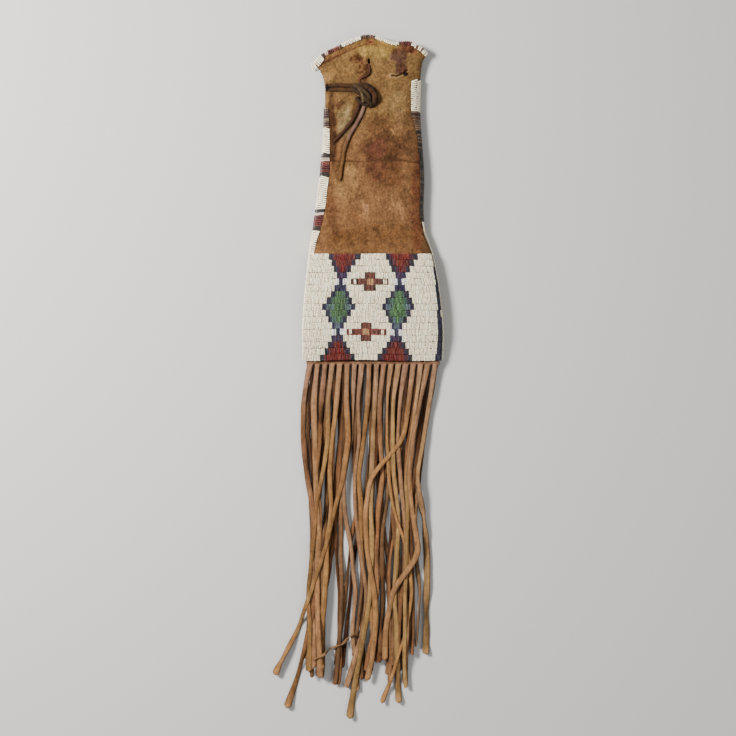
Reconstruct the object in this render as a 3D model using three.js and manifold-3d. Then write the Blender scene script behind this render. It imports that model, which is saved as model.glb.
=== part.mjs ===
// Beaded pipe bag, lying on its back: a hide bag with lane-stitched bead panels round its lower end,
// beaded strips down the side seams, a beaded mouth edge, two cut hide fringes below and a tie thong at
// the neck. Millimetres, +Z up. X runs across the bag, +Y runs to its mouth, and Z = 0 is the surface
// that it lies on. The origin is on the flat back of the bead panel, in the middle of the panel.

import * as THREE from "three";
import { mergeVertices } from "three/addons/utils/BufferGeometryUtils.js";
import Module from "manifold-3d";

// Clearance between neighbouring pieces
const GAP = 0.3;

// Hide bag: lengths along Y, measured up from the top of the bead panel
const PANEL_LENGTH = 125;
const FLARE_RISE = 28;
const BODY_RISE = 95;
const NECK_RISE = 173;
const THROAT_RISE = 211;
const LEFT_EAR_RISE = 226;
const RIGHT_EAR_RISE = 238;
const MOUTH_RISE = 256;

// Hide bag: widths of the hide at those places, and how far each is set over to the right
const BOTTOM_WIDTH = 162;
const PANEL_WIDTH = 163;
const PANEL_TOP_WIDTH = 143;
const FLARE_WIDTH = 129;
const BODY_WIDTH = 119;
const NECK_WIDTH = 110;
const THROAT_WIDTH = 115;
const LEFT_EAR_WIDTH = 127;
const EAR_SPAN = 135;
const LOWER_SHIFT = 2.4;
const FLARE_SHIFT = -2.6;
const BODY_SHIFT = 1.2;
const THROAT_SHIFT = 0.6;
const LEFT_EAR_SHIFT = -3.2;
const RIM_SHIFT = -1.6;

// Hide bag: wall of one hide, thickness over both hides, and lift of the mouth's edging off the floor
const HIDE_WALL = 1.8;
const SEAM_THICKNESS = 9;
const PANEL_THICKNESS = 20;
const BODY_THICKNESS = 19;
const NECK_THICKNESS = 16;
const MOUTH_THICKNESS = 14;
const MOUTH_LIFT = 0.6;

// Section: height of the rounded sides as a share of the thickness, and how square each shoulder is.
// The panel has its full thickness from some lanes above the bottom seam upwards.
const LEFT_SIDE_SHARE = 0.52;
const RIGHT_SIDE_SHARE = 0.36;
const LEFT_SHOULDER = 3.2;
const RIGHT_SHOULDER = 2.3;
const BELLY_SHOULDER = 4;
const BELLY_FLAT = 1.5;
const FULL_LANES = 5;
const SEAM_ROWS = [1, 2, 3.5];

// Beadwork: height of the beads, lanes of the panel and the groove between two lanes
const BEAD_HEIGHT = 2;
const LANE_COUNT = 17;
const LANE_GROOVE_DEPTH = 0.8;
const LANE_GROOVE_WIDTH = 1.8;
const SIDE_LANE_TOP_WIDTH = 3;
const SIDE_LANE_BOTTOM_WIDTH = 10;
const LEFT_LANE_WIDTH = 5.5;
const SIDE_SPLIT_SHARE = 0.48;

// Motif columns of the front panel: stepped hourglass figures, one step wider or narrower in each lane. The
// figures grow by the motif spread from the top lane to the bottom one. Each column is [x of its middle in
// the top lane, sideways bow between its ends].
const MOTIF_STEP = 4;
const MOTIF_OUTLINE = 5.6;
const CONNECTOR_HALF = 2.3;
const MOTIF_STEPS = 4;
const MOTIF_SPREAD = 0.1;
const LEFT_COLUMN = [-31, -2.3];
const RIGHT_COLUMN = [36.1, 0];
const CROSS_COLUMN = [0.8, 0];
const COLUMN_LEAN = -8.2;

// Crosses of the front panel
const CROSS_LANES = [5, 13];
const CROSS_ARM = 21.6;
const CROSS_POST = 6.1;
const CROSS_CENTRE = 3.6;
const CROSS_SQUARE = 4.2;
const CROSS_SQUARE_X = 17.4;

// Side strips: lowest edge on the side, tops, widths on the front as [rise above the panel, width], and the
// bands from the top down
const STRIP_FOOT = 3;
const LEFT_STRIP_TOP = 172;
const RIGHT_STRIP_TOP = 205;
const LEFT_STRIP_WIDTHS = [[0, 7.2], [50, 12.4], [100, 12], [172, 6.5]];
const RIGHT_STRIP_WIDTHS = [[0, 2.4], [34, 3], [44, 5.6], [138, 6], [165, 11.6], [205, 12.6]];
const STRIP_ROWS = [0, 0.25, 0.5, 0.75, 1];
const LEFT_BANDS = [
  ["dark", 23.5], ["white", 30.5], ["dark", 4.7], ["pale", 4.7], ["red", 12.9], ["dark", 4.7],
  ["white", 38.8], ["dark", 3.5], ["pale", 3.5], ["red", 12.9], ["dark", 4.7],
];
const RIGHT_BANDS = [
  ["white", 37.6], ["dark", 11], ["pale", 32], ["dark", 86],
];
const LAST_BAND = "white";

// Mouth edge: points as [share of half the ear span, drop below the highest point]
const RIM = [
  [-1.05, 33], [-0.97, 31.5], [-0.83, 22.5], [-0.55, 13], [-0.42, 8.4], [-0.2, 2.6], [-0.06, 0],
  [0.08, 0.7], [0.28, 5.8], [0.43, 8.9], [0.56, 7.6], [0.69, 7.6], [0.82, 11.4], [0.93, 15], [1.0, 19],
  [1.09, 24],
];
const RIM_STEPS = 24;

// Bead edging of the mouth: its width, and its groups as [colour, share at which the group ends]
const EDGING_WIDTH = 5.2;
const EDGING_GROUPS = [
  ["white", -0.83], ["pale", -0.72], ["red", -0.53], ["white", -0.15], ["dark", 0.08], ["white", 0.51],
  ["red", 0.72], ["white", 2],
];

// Fringe: its longest strand, its header, the widths and thickness of the strands, and their levels as
// shares of the fringe's length
const FRINGE_LENGTH = 421;
const HEADER_LENGTH = 4;
const HEADER_THICKNESS = 1.9;
const HEADER_INSET = 3;
const STRAND_COUNT = 18;
const STRAND_THICKNESS = 1.3;
const STRAND_ROOT_WIDTH = 7;
const FRONT_STRAND_WIDTH = 5.8;
const BACK_STRAND_WIDTH = 8.2;
const STRAND_TIP_WIDTH = 4.6;
const FRONT_LEVEL = 0.107;
const BACK_LEVEL = 0.214;
const SETTLE_LENGTH = 90;

// Strands from left to right: layer, share of the fringe's length, and sideways drifts in strand pitches,
// at each level below the header and at the tip
const FRONT_STRANDS = [
  [0, 0.857, [-0.92, -0.92, -0.35, 0.35, 0.23, -0.35, -0.35], -0.58],
  [1, 0.881, [-0.58, -0.35, -0.23, 0.12, -0.12, -0.58, -0.69], -0.35],
  [0, 0.971, [-0.46, -0.69, -1.04, -0.58, -0.69, -1.15, -1.96, -2.88], -4.5],
  [1, 0.862, [-0.58, -0.58, -1.38, -2.19, -2.88, -3.12, -2.88], -3],
  [0, 0.876, [-0.46, -1.15, -1.5, -1.38, -1.85, -2.08, -2.42], -2.77],
  [2, 0.874, [-0.12, 0.23, -0.58, -1.96, -3.23, -4.73, -6.23], -9.23],
  [0, 0.919, [-0.23, -0.35, -1.38, -1.15, -0.35, -0.12, -0.92, -0.35], -0.23],
  [1, 0.91, [-0.46, -0.35, -1.04, -0.92, -0.23, 0.58, 0, -1.38], -2.31],
  [0, 0.865, [-0.23, -0.69, -1.5, -1.15, -0.92, -0.58, 0.23], -0.35],
  [1, 1, [-0.23, -0.46, -0.58, -0.69, -0.58, -0.92, -1.85, -2.65], -3.81],
  [0, 0.865, [-0.58, -0.58, -0.23, -0.92, -1.04, -0.92, -1.38], -2.42],
  [1, 0.957, [-0.69, -0.69, -0.35, 0.46, 1.96, 2.54, 1.85, 0.46], -1.5],
  [0, 0.955, [-0.69, -0.81, -0.69, 0, -0.12, -0.46, -0.46, -0.46], -0.46],
  [1, 0.907, [-0.81, -1.04, -0.69, 0, -0.12, -0.23, -0.23, -0.35], -0.35],
  [2, 0.891, [-0.58, -1.5, -5.88, -6.46, -6.12, -5.77, -6.12, -6.81], -7.15],
  [1, 0.912, [-0.58, -1.38, -2.08, -1.73, -1.62, -1.73, -1.62, -1.5], -1.38],
  [2, 0.834, [-1.04, -1.96, -2.42, -1.85, -1.27, -4.85, -6], -6.23],
  [1, 0.817, [-0.81, -1.73, -2.65, -1.73, -1.27, -1.27, -1.38], -1.62],
];
const BACK_STRANDS = [
  [0, 0.831, [-0.46, 0.46, 0.35], 0],
  [1, 0.869, [-0.58, -0.23, -1.04], -1.15],
  [0, 0.836, [-0.35, -1.15, -0.81], -1.62],
  [1, 0.881, [-0.23, -0.69, -1.73], -2.31],
  [0, 0.819, [0.23, -0.92, -1.5], -2.54],
  [1, 0.903, [-0.58, -1.27, -0.98, -1.6], -1.9],
  [0, 0.855, [0.12, 0.23, -0.81], -1.73],
  [1, 0.827, [-0.69, -0.46, 0.23], -0.69],
  [0, 0.888, [0.35, -0.58, -1.15], -1.04],
  [1, 0.843, [-0.23, -1.04, -0.35], 0.23],
  [0, 0.874, [-0.69, -0.35, 0.58], 0],
  [1, 0.812, [-0.23, -1.27, -1.38], -1.96],
  [0, 0.895, [-0.81, -0.69, -1.5], -1.38],
  [1, 0.85, [-0.92, -1.73, -1.04], -1.5],
  [0, 0.865, [-1.04, -0.81, -1.38], -2.08],
  [1, 0.831, [-1.38, -2.08, -1.96], -2.54],
  [0, 0.819, [-1.73, -2.42, -2.08], -2.42],
  [1, 0.796, [-1.85, -3, -2.19], -2.31],
];

// Tie thong: its width, the knot, and the routes of its pieces over the front hide as [x, y]
const THONG_DIAMETER = 4.4;
const THONG_SIDES = 8;
const KNOT_CENTRE = [-9.5, 250];
const KNOT_SIZE = [20, 23, 9];
const KNOT_SIDES = 10;
const KNOT_RINGS = 6;
const SLIT_SIZE = [2.4, 6.4];
const LEFT_SLIT = [-48, 257.5];
const UPPER_SLIT = [-2.3, 287];
const THONG_ROUTES = {
  tie_band: [[-47.4, 260.2], [-42, 260.3], [-36, 260.2], [-29, 259.8], [-23, 259.5], [-18.2, 259.2]],
  tie_band_lower: [[-47.4, 255.1], [-42, 255.1], [-36, 255], [-29, 254.6], [-24.5, 254.3], [-20, 254]],
  tie_neck_piece: [
    [-2.3, 285.5], [-1.6, 279.5], [-1.4, 275.4], [-4, 271.6], [-8.6, 270.4], [-13, 269], [-14.2, 265.4],
    [-12.8, 262.4],
  ],
  tie_tail_long: [
    [-7.6, 237.2], [-9.6, 230], [-12.9, 222.4], [-17.4, 214], [-22.3, 205.9], [-26.3, 198.2],
    [-29.4, 190.6], [-31.6, 182], [-32.9, 173], [-34.3, 165.5], [-35.3, 158.9], [-36.4, 148.3],
  ],
  tie_tail_short: [
    [-13.8, 238.4], [-16, 231], [-19.2, 223.5], [-23.4, 216.6], [-28.2, 210.6], [-33.2, 204.6],
    [-38.6, 198.9], [-44, 193.4],
  ],
};

// Finishes
const finish = (color, roughness) => new THREE.MeshStandardMaterial({ color, roughness });
const HIDE = finish(0x9a7143, 0.85);
const FRINGE = finish(0xa87a50, 0.85);
const THONG = finish(0x6b4c33, 0.85);
const BEADS = {
  white: finish(0xe8e1d2, 0.35),
  pale: finish(0xc9bfae, 0.4),
  red: finish(0x8a2f25, 0.35),
  brown: finish(0x6e3426, 0.4),
  tan: finish(0xc4a06a, 0.4),
  blue: finish(0x2c2f5f, 0.35),
  green: finish(0x2f5f36, 0.35),
  dark: finish(0x25252c, 0.4),
};

const wasm = await Module();
wasm.setup();
const bag = new THREE.Group();

// Places that follow from the driving dimensions
const PANEL_TOP = PANEL_LENGTH / 2;
const PANEL_BOTTOM = -PANEL_LENGTH / 2;
const LANE = PANEL_LENGTH / LANE_COUNT;
const BEAD_STACK = GAP + BEAD_HEIGHT;
const MOUTH_TOP = PANEL_TOP + MOUTH_RISE;
const MOUTH_FOOT = BEAD_STACK + MOUTH_LIFT;
const REACH = MOUTH_TOP + PANEL_LENGTH;
const STRAND_LAYER = STRAND_THICKNESS + GAP;

// Stations of the hide bag from the bottom seam to the mouth: y, width, shift, back height, front height
const STATIONS = [
  [PANEL_BOTTOM, BOTTOM_WIDTH, LOWER_SHIFT, BEAD_STACK, BEAD_STACK + SEAM_THICKNESS],
  [PANEL_BOTTOM + FULL_LANES * LANE, PANEL_WIDTH, LOWER_SHIFT, BEAD_STACK, BEAD_STACK + PANEL_THICKNESS],
  [PANEL_TOP, PANEL_TOP_WIDTH, 0, BEAD_STACK, BEAD_STACK + PANEL_THICKNESS],
  [PANEL_TOP + FLARE_RISE, FLARE_WIDTH, FLARE_SHIFT, 0, BODY_THICKNESS],
  [PANEL_TOP + BODY_RISE, BODY_WIDTH, BODY_SHIFT, 0, BODY_THICKNESS],
  [PANEL_TOP + NECK_RISE, NECK_WIDTH, BODY_SHIFT, 0, NECK_THICKNESS],
  [PANEL_TOP + THROAT_RISE, THROAT_WIDTH, THROAT_SHIFT, 0, NECK_THICKNESS],
  [PANEL_TOP + LEFT_EAR_RISE, LEFT_EAR_WIDTH, LEFT_EAR_SHIFT, MOUTH_FOOT, MOUTH_FOOT + MOUTH_THICKNESS],
  [PANEL_TOP + RIGHT_EAR_RISE, EAR_SPAN, RIM_SHIFT, MOUTH_FOOT, MOUTH_FOOT + MOUTH_THICKNESS],
  [REACH, EAR_SPAN, RIM_SHIFT, MOUTH_FOOT, MOUTH_FOOT + MOUTH_THICKNESS],
];
const stationPlaces = STATIONS.map((station) => station[0]);
const outline = new THREE.CubicInterpolant(
  stationPlaces,
  STATIONS.flatMap(([, width, shift, , front]) => [width, shift, front]),
  3,
);
const backLine = new THREE.LinearInterpolant(
  stationPlaces,
  STATIONS.map(([, , , back]) => back),
  1,
);

// Shares of the half width at which a section has its corners, over the front and back under the belly
const FRONT_SHARES = [-1, -0.95, -0.74, -0.28, 0.25, 0.62, 0.85, 0.96, 1];
const BACK_SHARES = [0.92, -0.92];

/** Measures of the bag's section at y: middle, half width, heights of the back, front and both sides. */
function measure(y, grow) {
  const [width, shift, front] = outline.evaluate(y);
  const [foot] = backLine.evaluate(y);
  const thickness = front - foot;
  return {
    middle: shift,
    half: width / 2 + grow,
    foot: foot - grow,
    top: front + grow,
    left: foot + LEFT_SIDE_SHARE * thickness,
    right: foot + RIGHT_SIDE_SHARE * thickness,
  };
}

/** Height of the side line below or above a share of the half width. */
function sideHeight(at, share) {
  return THREE.MathUtils.lerp(at.left, at.right, (share + 1) / 2);
}

/** A rounded fall from 1 in the middle to 0 at the side. */
function roundOff(share, squareness) {
  return (1 - Math.abs(share) ** squareness) ** (1 / squareness);
}

function frontHeight(at, share) {
  const side = sideHeight(at, share);
  return side + (at.top - side) * roundOff(share, share < 0 ? LEFT_SHOULDER : RIGHT_SHOULDER);
}

function backHeight(at, share) {
  const side = sideHeight(at, share);
  return Math.max(at.foot, side - (side - at.foot) * BELLY_FLAT * roundOff(share, BELLY_SHOULDER));
}

/** Section of the bag at y, grown outwards, from the left side over the front and back under the belly. */
function section(y, grow) {
  const at = measure(y, grow);
  const corner = (share, height) => new THREE.Vector3(at.middle + share * at.half, y, height);
  return [
    ...FRONT_SHARES.map((share) => corner(share, frontHeight(at, share))),
    ...BACK_SHARES.map((share) => corner(share, backHeight(at, share))),
  ];
}

/** Height of the front hide under a round thing of some radius that lies on it. */
function hideHeight(x, y, radius) {
  const at = measure(y, 0);
  const shares = [x - radius, x, x + radius].map((place) => (place - at.middle) / at.half);
  return Math.max(...shares.map((share) => frontHeight(at, THREE.MathUtils.clamp(share, -1, 1))));
}

/** Closed solid through loops that all have the same number of corners, each in turn further along +Y. */
function loft(loops) {
  const count = loops[0].length;
  const last = (loops.length - 1) * count;
  const faces = [];
  for (let row = 0; row < last; row += count) {
    for (let i = 0; i < count; i += 1) {
      const a = row + i;
      const b = row + ((i + 1) % count);
      faces.push(a, b, b + count, a, b + count, a + count);
    }
  }
  for (let i = 1; i + 1 < count; i += 1) {
    faces.push(0, i + 1, i, last, last + i, last + i + 1);
  }
  const geometry = new THREE.BufferGeometry().setFromPoints(loops.flat());
  geometry.setIndex(faces);
  return solid(geometry);
}

/** A solid that can be joined and cut, from a closed geometry. */
function solid(geometry) {
  geometry.deleteAttribute("normal");
  geometry.deleteAttribute("uv");
  const merged = mergeVertices(geometry);
  const mesh = new wasm.Mesh({
    numProp: 3,
    vertProperties: new Float32Array(merged.attributes.position.array),
    triVerts: new Uint32Array(merged.index.array),
  });
  return new wasm.Manifold(mesh);
}

/** Upright prism on an outline of [x, y] corners, between two heights. */
function prism(corners, low, high) {
  const shape = new THREE.Shape(corners.map(([x, y]) => new THREE.Vector2(x, y)));
  const geometry = new THREE.ExtrudeGeometry(shape, { depth: high - low, bevelEnabled: false });
  geometry.translate(0, 0, low);
  return solid(geometry);
}

/** Upright block between two x and two y places. */
function block(left, right, bottom, top, low = -REACH, high = REACH) {
  return prism([[left, bottom], [right, bottom], [right, top], [left, top]], low, high);
}

/** Adds a solid to the bag as one named piece. */
function addPiece(name, shape, material) {
  const { vertProperties, triVerts } = shape.getMesh();
  const geometry = new THREE.BufferGeometry();
  geometry.setAttribute("position", new THREE.BufferAttribute(vertProperties, 3));
  geometry.setIndex(new THREE.BufferAttribute(triVerts, 1));
  geometry.computeVertexNormals();
  const mesh = new THREE.Mesh(geometry, material);
  mesh.name = name;
  bag.add(mesh);
}

/** Rows along the bag at which its hide has a section. */
function hideRows(from, to) {
  const places = [0, ...SEAM_ROWS.map((lanes) => PANEL_BOTTOM + lanes * LANE)];
  for (const station of STATIONS.slice(1, -1)) {
    places.push(station[0]);
  }
  places.push(PANEL_TOP + FLARE_RISE / 2, PANEL_TOP + (FLARE_RISE + BODY_RISE) / 2);
  places.push(PANEL_TOP + (BODY_RISE + NECK_RISE) / 2, PANEL_TOP + (LEFT_EAR_RISE + THROAT_RISE) / 2);
  const inside = places.filter((y) => y > from + GAP && y < to - GAP).sort((a, b) => a - b);
  return [from, ...inside, to];
}

/** The bag's outer form over a stretch of its length, grown outwards. */
function bagForm(from, to, grow) {
  return loft(hideRows(from, to).map((y) => section(y, grow)));
}

/** Everything behind a sheet through the bag, at a share of its thickness on each side less a drop. */
function behind(leftShare, rightShare, drop) {
  const rows = hideRows(PANEL_BOTTOM - REACH, REACH);
  return loft(rows.map((y) => {
    const at = measure(y, 0);
    const thickness = at.top - at.foot;
    const middle = at.foot + (thickness * (leftShare + rightShare)) / 2 - drop;
    const slope = (thickness * (rightShare - leftShare)) / 2;
    const far = REACH / at.half;
    return [
      new THREE.Vector3(-REACH, y, middle - slope * far),
      new THREE.Vector3(REACH, y, middle + slope * far),
      new THREE.Vector3(REACH, y, -REACH),
      new THREE.Vector3(-REACH, y, -REACH),
    ];
  }));
}

/** Everything behind the two side seams. */
function behindSeams(drop) {
  return behind(LEFT_SIDE_SHARE, RIGHT_SIDE_SHARE, drop);
}

/** Corners of the mouth edge from left to right, moved down by a drop. */
function rimCorners(drop) {
  const points = RIM.map(([share, fall]) => new THREE.Vector2(
    RIM_SHIFT + (share * EAR_SPAN) / 2,
    MOUTH_TOP - fall - drop,
  ));
  const curve = new THREE.SplineCurve(points).getPoints(RIM_STEPS);
  const ends = [[-REACH, curve[0].y], [REACH, curve[RIM_STEPS].y]];
  return [ends[0], ...curve.map((point) => [point.x, point.y]), ends[1]];
}

/** Everything above the mouth edge. */
function aboveRim(drop) {
  return prism([...rimCorners(drop), [REACH, REACH], [-REACH, REACH]], -REACH, REACH);
}

function addHides() {
  const outside = bagForm(PANEL_BOTTOM, REACH, 0);
  const inside = bagForm(PANEL_BOTTOM + HIDE_WALL, REACH + HIDE_WALL, -HIDE_WALL);
  const pouch = outside.subtract(inside).subtract(aboveRim(0));
  const slits = [LEFT_SLIT, UPPER_SLIT].map(([x, y]) => block(
    x - SLIT_SIZE[0] / 2,
    x + SLIT_SIZE[0] / 2,
    y - SLIT_SIZE[1] / 2,
    y + SLIT_SIZE[1] / 2,
  ));
  const front = pouch.subtract(behindSeams(-GAP / 2));
  addPiece("front_hide", slits.reduce((hide, slit) => hide.subtract(slit), front), HIDE);
  addPiece("back_hide", pouch.intersect(behindSeams(GAP / 2)), HIDE);
}

/** Lane number, from 1 at the top, to the y of its upper edge. */
function laneTop(lane) {
  return PANEL_TOP - (lane - 1) * LANE;
}

/** The beaded skin round the lower bag: one ridge for each lane, with grooves between them. */
function laneSkin() {
  const loops = [section(PANEL_BOTTOM, BEAD_STACK - LANE_GROOVE_DEPTH)];
  for (let lane = LANE_COUNT; lane >= 1; lane -= 1) {
    const upper = laneTop(lane);
    const lower = laneTop(lane + 1);
    loops.push(section(lower + LANE_GROOVE_WIDTH / 2, BEAD_STACK));
    loops.push(section(upper - LANE_GROOVE_WIDTH / 2, BEAD_STACK));
    loops.push(section(upper, BEAD_STACK - LANE_GROOVE_DEPTH));
  }
  return loft(loops).subtract(bagForm(PANEL_BOTTOM - GAP, PANEL_TOP + GAP, GAP));
}

/** Steps out from the connector at a lane of the motif columns: 4, 3, 2, 1, 0, 1, 2, 3, 4 and so on. */
function stepsOut(lane) {
  return Math.abs(MOTIF_STEPS - ((lane - 1) % (2 * MOTIF_STEPS)));
}

/** Share of the way from the top lane to the bottom lane. */
function laneShare(lane) {
  return (lane - 1) / (LANE_COUNT - 1);
}

function columnMiddle([x, bow], lane) {
  const share = laneShare(lane);
  return x + COLUMN_LEAN * share + 4 * bow * share * (1 - share);
}

/** How much larger the figures are in a lane than in the top lane. */
function motifScale(lane) {
  return 1 + MOTIF_SPREAD * laneShare(lane);
}

/**
 * Upright stepped prism over the lanes from first to last. span(lane) gives its left and right edge there.
 * Grown outwards by grow on every edge.
 */
function steppedPrism(first, last, span, grow) {
  const rightSide = [];
  const leftSide = [];
  for (let lane = first; lane <= last; lane += 1) {
    const [left, right] = span(lane);
    const above = lane === first ? [right, left] : [span(lane - 1)[1], span(lane - 1)[0]];
    const below = lane === last ? [right, left] : [span(lane + 1)[1], span(lane + 1)[0]];
    const top = laneTop(lane);
    const bottom = laneTop(lane + 1);
    const rightUp = lane === first || right > above[0] ? grow : -grow;
    const rightDown = lane === last || right > below[0] ? grow : -grow;
    const leftUp = lane === first || left < above[1] ? grow : -grow;
    const leftDown = lane === last || left < below[1] ? grow : -grow;
    rightSide.push([right + grow, top + rightUp], [right + grow, bottom - rightDown]);
    leftSide.push([left - grow, top + leftUp], [left - grow, bottom - leftDown]);
  }
  return prism([...rightSide, ...leftSide.reverse()], -REACH, REACH);
}

/** Stepped figure of a motif column, with its sides set in, over the lanes from first to last. */
function columnFigure(column, first, last, inset, grow) {
  const span = (lane) => {
    const middle = columnMiddle(column, lane);
    const half = (CONNECTOR_HALF + MOTIF_STEP * stepsOut(lane)) * motifScale(lane) - inset;
    return [middle - half, middle + half];
  };
  return steppedPrism(first, last, span, grow);
}

/** One motif column: coloured fields and the blue outline round them. Returns the space that it takes. */
function addColumn(side, column, front) {
  const period = 2 * MOTIF_STEPS;
  const fields = [
    ["upper_triangle", 1, MOTIF_STEPS - 1, BEADS.red],
    ["diamond", MOTIF_STEPS + 3, period + MOTIF_STEPS - 1, BEADS.green],
    ["lower_triangle", period + MOTIF_STEPS + 3, LANE_COUNT, BEADS.red],
  ];
  let outlineField = front.intersect(columnFigure(column, 1, LANE_COUNT, 0, 0));
  for (const [name, first, last, material] of fields) {
    outlineField = outlineField.subtract(columnFigure(column, first, last, MOTIF_OUTLINE, GAP));
    const field = front.intersect(columnFigure(column, first, last, MOTIF_OUTLINE, 0));
    addPiece(`${side}_${name}`, field, material);
  }
  addPiece(`${side}_motif_outline`, outlineField, BEADS.blue);
  return columnFigure(column, 1, LANE_COUNT, 0, GAP);
}

/** A cross of three lanes with a tan centre and a white square in each arm. */
function addCross(name, lane, front) {
  const middle = columnMiddle(CROSS_COLUMN, lane);
  const scale = motifScale(lane);
  const span = (row) => {
    const half = (row === lane ? CROSS_ARM : CROSS_POST) * scale;
    return [middle - half, middle + half];
  };
  const centreY = laneTop(lane) - LANE / 2;
  const inlay = (x, half, grow) => block(
    x - half - grow,
    x + half + grow,
    centreY - half - grow,
    centreY + half + grow,
  );
  const inlays = [
    ["centre", middle, CROSS_CENTRE, BEADS.tan],
    ["left_square", middle - CROSS_SQUARE_X * scale, CROSS_SQUARE / 2, BEADS.white],
    ["right_square", middle + CROSS_SQUARE_X * scale, CROSS_SQUARE / 2, BEADS.white],
  ];
  let body = front.intersect(steppedPrism(lane - 1, lane + 1, span, 0));
  for (const [part, x, half, material] of inlays) {
    body = body.subtract(inlay(x, half, GAP));
    addPiece(`${name}_${part}`, front.intersect(inlay(x, half, 0)), material);
  }
  addPiece(name, body, BEADS.brown);
  return steppedPrism(lane - 1, lane + 1, span, GAP);
}

/**
 * Everything beyond a line that follows one side of the bead panel. The line lies in from the side by a
 * width that changes evenly from the panel's top to its bottom, less a trim.
 */
function beyondSide(direction, topWidth, bottomWidth, trim) {
  const ends = [PANEL_TOP + LANE, PANEL_TOP, PANEL_TOP / 2];
  const rows = [...ends, 0, PANEL_BOTTOM, PANEL_BOTTOM - LANE];
  const line = rows.map((y) => {
    const at = measure(y, BEAD_STACK);
    const width = THREE.MathUtils.mapLinear(y, PANEL_TOP, PANEL_BOTTOM, topWidth, bottomWidth);
    return [at.middle + direction * (at.half - width + trim), y];
  });
  const far = direction * REACH;
  return prism([...line, [far, -REACH], [far, REACH]], -REACH, REACH);
}

function addPanels() {
  const skin = laneSkin();
  const face = skin.subtract(behind(SIDE_SPLIT_SHARE, SIDE_SPLIT_SHARE, 0));
  const rear = skin.intersect(behind(SIDE_SPLIT_SHARE, SIDE_SPLIT_SHARE, GAP));
  const rightLane = (trim) => beyondSide(1, SIDE_LANE_TOP_WIDTH, SIDE_LANE_BOTTOM_WIDTH, trim);
  const leftLane = (trim) => beyondSide(-1, LEFT_LANE_WIDTH, LEFT_LANE_WIDTH, trim);
  const front = face.subtract(rightLane(0));
  addPiece("right_side_lane", face.intersect(rightLane(GAP)), BEADS.blue);
  addPiece("left_side_lane", rear.intersect(leftLane(0)), BEADS.blue);
  addPiece("back_panel", rear.subtract(leftLane(-GAP)), BEADS.white);

  const leftCut = addColumn("left", LEFT_COLUMN, front);
  const rightCut = addColumn("right", RIGHT_COLUMN, front);
  const crossCuts = CROSS_LANES.map((lane, i) => addCross(["upper_cross", "lower_cross"][i], lane, front));
  const cuts = [leftCut, rightCut, ...crossCuts];
  const ground = cuts.reduce((field, cut) => field.subtract(cut), front);
  const leftMiddle = columnMiddle(LEFT_COLUMN, LANE_COUNT / 2);
  const rightMiddle = columnMiddle(RIGHT_COLUMN, LANE_COUNT / 2);
  for (const field of ground.decompose()) {
    const box = field.boundingBox();
    const x = (box.min[0] + box.max[0]) / 2;
    const side = x < leftMiddle ? "left" : x > rightMiddle ? "right" : "middle";
    addPiece(`front_ground_${side}`, field, BEADS.white);
  }
}

/** Beaded strip over one side seam of the upper bag, in bands of colour from the top down. */
function addSideStrip(side, direction, topRise, widths, bands) {
  const skin = bagForm(PANEL_TOP + GAP, MOUTH_TOP, BEAD_STACK)
    .subtract(bagForm(PANEL_TOP, MOUTH_TOP + GAP, GAP));
  const rises = widths.map(([rise]) => rise);
  const widthLine = new THREE.LinearInterpolant(rises, widths.map(([, width]) => width), 1);
  const edge = (y) => {
    const at = measure(y, BEAD_STACK);
    const [width] = widthLine.evaluate(y - PANEL_TOP);
    return [at.middle + direction * (at.half - width), y];
  };
  const used = bands.reduce((sum, band) => sum + band[1], 0);
  let top = PANEL_TOP + topRise;
  [...bands, [LAST_BAND, topRise - used]].forEach(([colour, length], i) => {
    const bottom = top - length;
    const low = bottom + GAP;
    const high = top;
    const corners = STRIP_ROWS.map((share) => edge(THREE.MathUtils.lerp(low, high, share)));
    const far = direction * REACH;
    const shape = [[far, low], ...corners, [far, high]];
    const zone = prism(shape, STRIP_FOOT, REACH);
    addPiece(`${side}_strip_${i + 1}_${colour}`, skin.intersect(zone), BEADS[colour]);
    top = bottom;
  });
}

/** Bead edging along the mouth, in groups of colour on the front and plain white on the back. */
function addMouthEdging() {
  const from = PANEL_TOP + THROAT_RISE;
  const skin = bagForm(from, REACH, BEAD_STACK).subtract(bagForm(from - GAP, REACH + GAP, GAP));
  const band = skin.subtract(aboveRim(0)).intersect(aboveRim(EDGING_WIDTH));
  const front = band.subtract(behindSeams(-GAP / 2));
  let left = -REACH;
  EDGING_GROUPS.forEach(([colour, share], i) => {
    const right = RIM_SHIFT + (share * EAR_SPAN) / 2;
    const group = front.intersect(block(left, right - GAP, -REACH, REACH));
    addPiece(`mouth_edging_${i + 1}_${colour}`, group, BEADS[colour]);
    left = right;
  });
  addPiece("mouth_edging_back_white", band.intersect(behindSeams(GAP / 2)), BEADS.white);
}

/** One fringe strand, a flat ribbon through its points from the header down to its tip. */
function strand(points, middleWidth) {
  const last = points.length - 1;
  const loops = points.map((point, i) => {
    const before = points[Math.max(i - 1, 0)];
    const after = points[Math.min(i + 1, last)];
    const across = new THREE.Vector2(before.y - after.y, after.x - before.x).normalize();
    const width = { 0: STRAND_ROOT_WIDTH, [last]: STRAND_TIP_WIDTH }[i] ?? middleWidth;
    const corner = (share, lift) => new THREE.Vector3(
      point.x + across.x * share * width,
      point.y + across.y * share * width,
      point.z + lift,
    );
    const half = STRAND_THICKNESS / 2;
    return [corner(-0.5, -half), corner(-0.5, half), corner(0.5, half), corner(0.5, -half)];
  });
  return loft(loops.reverse());
}

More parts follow.
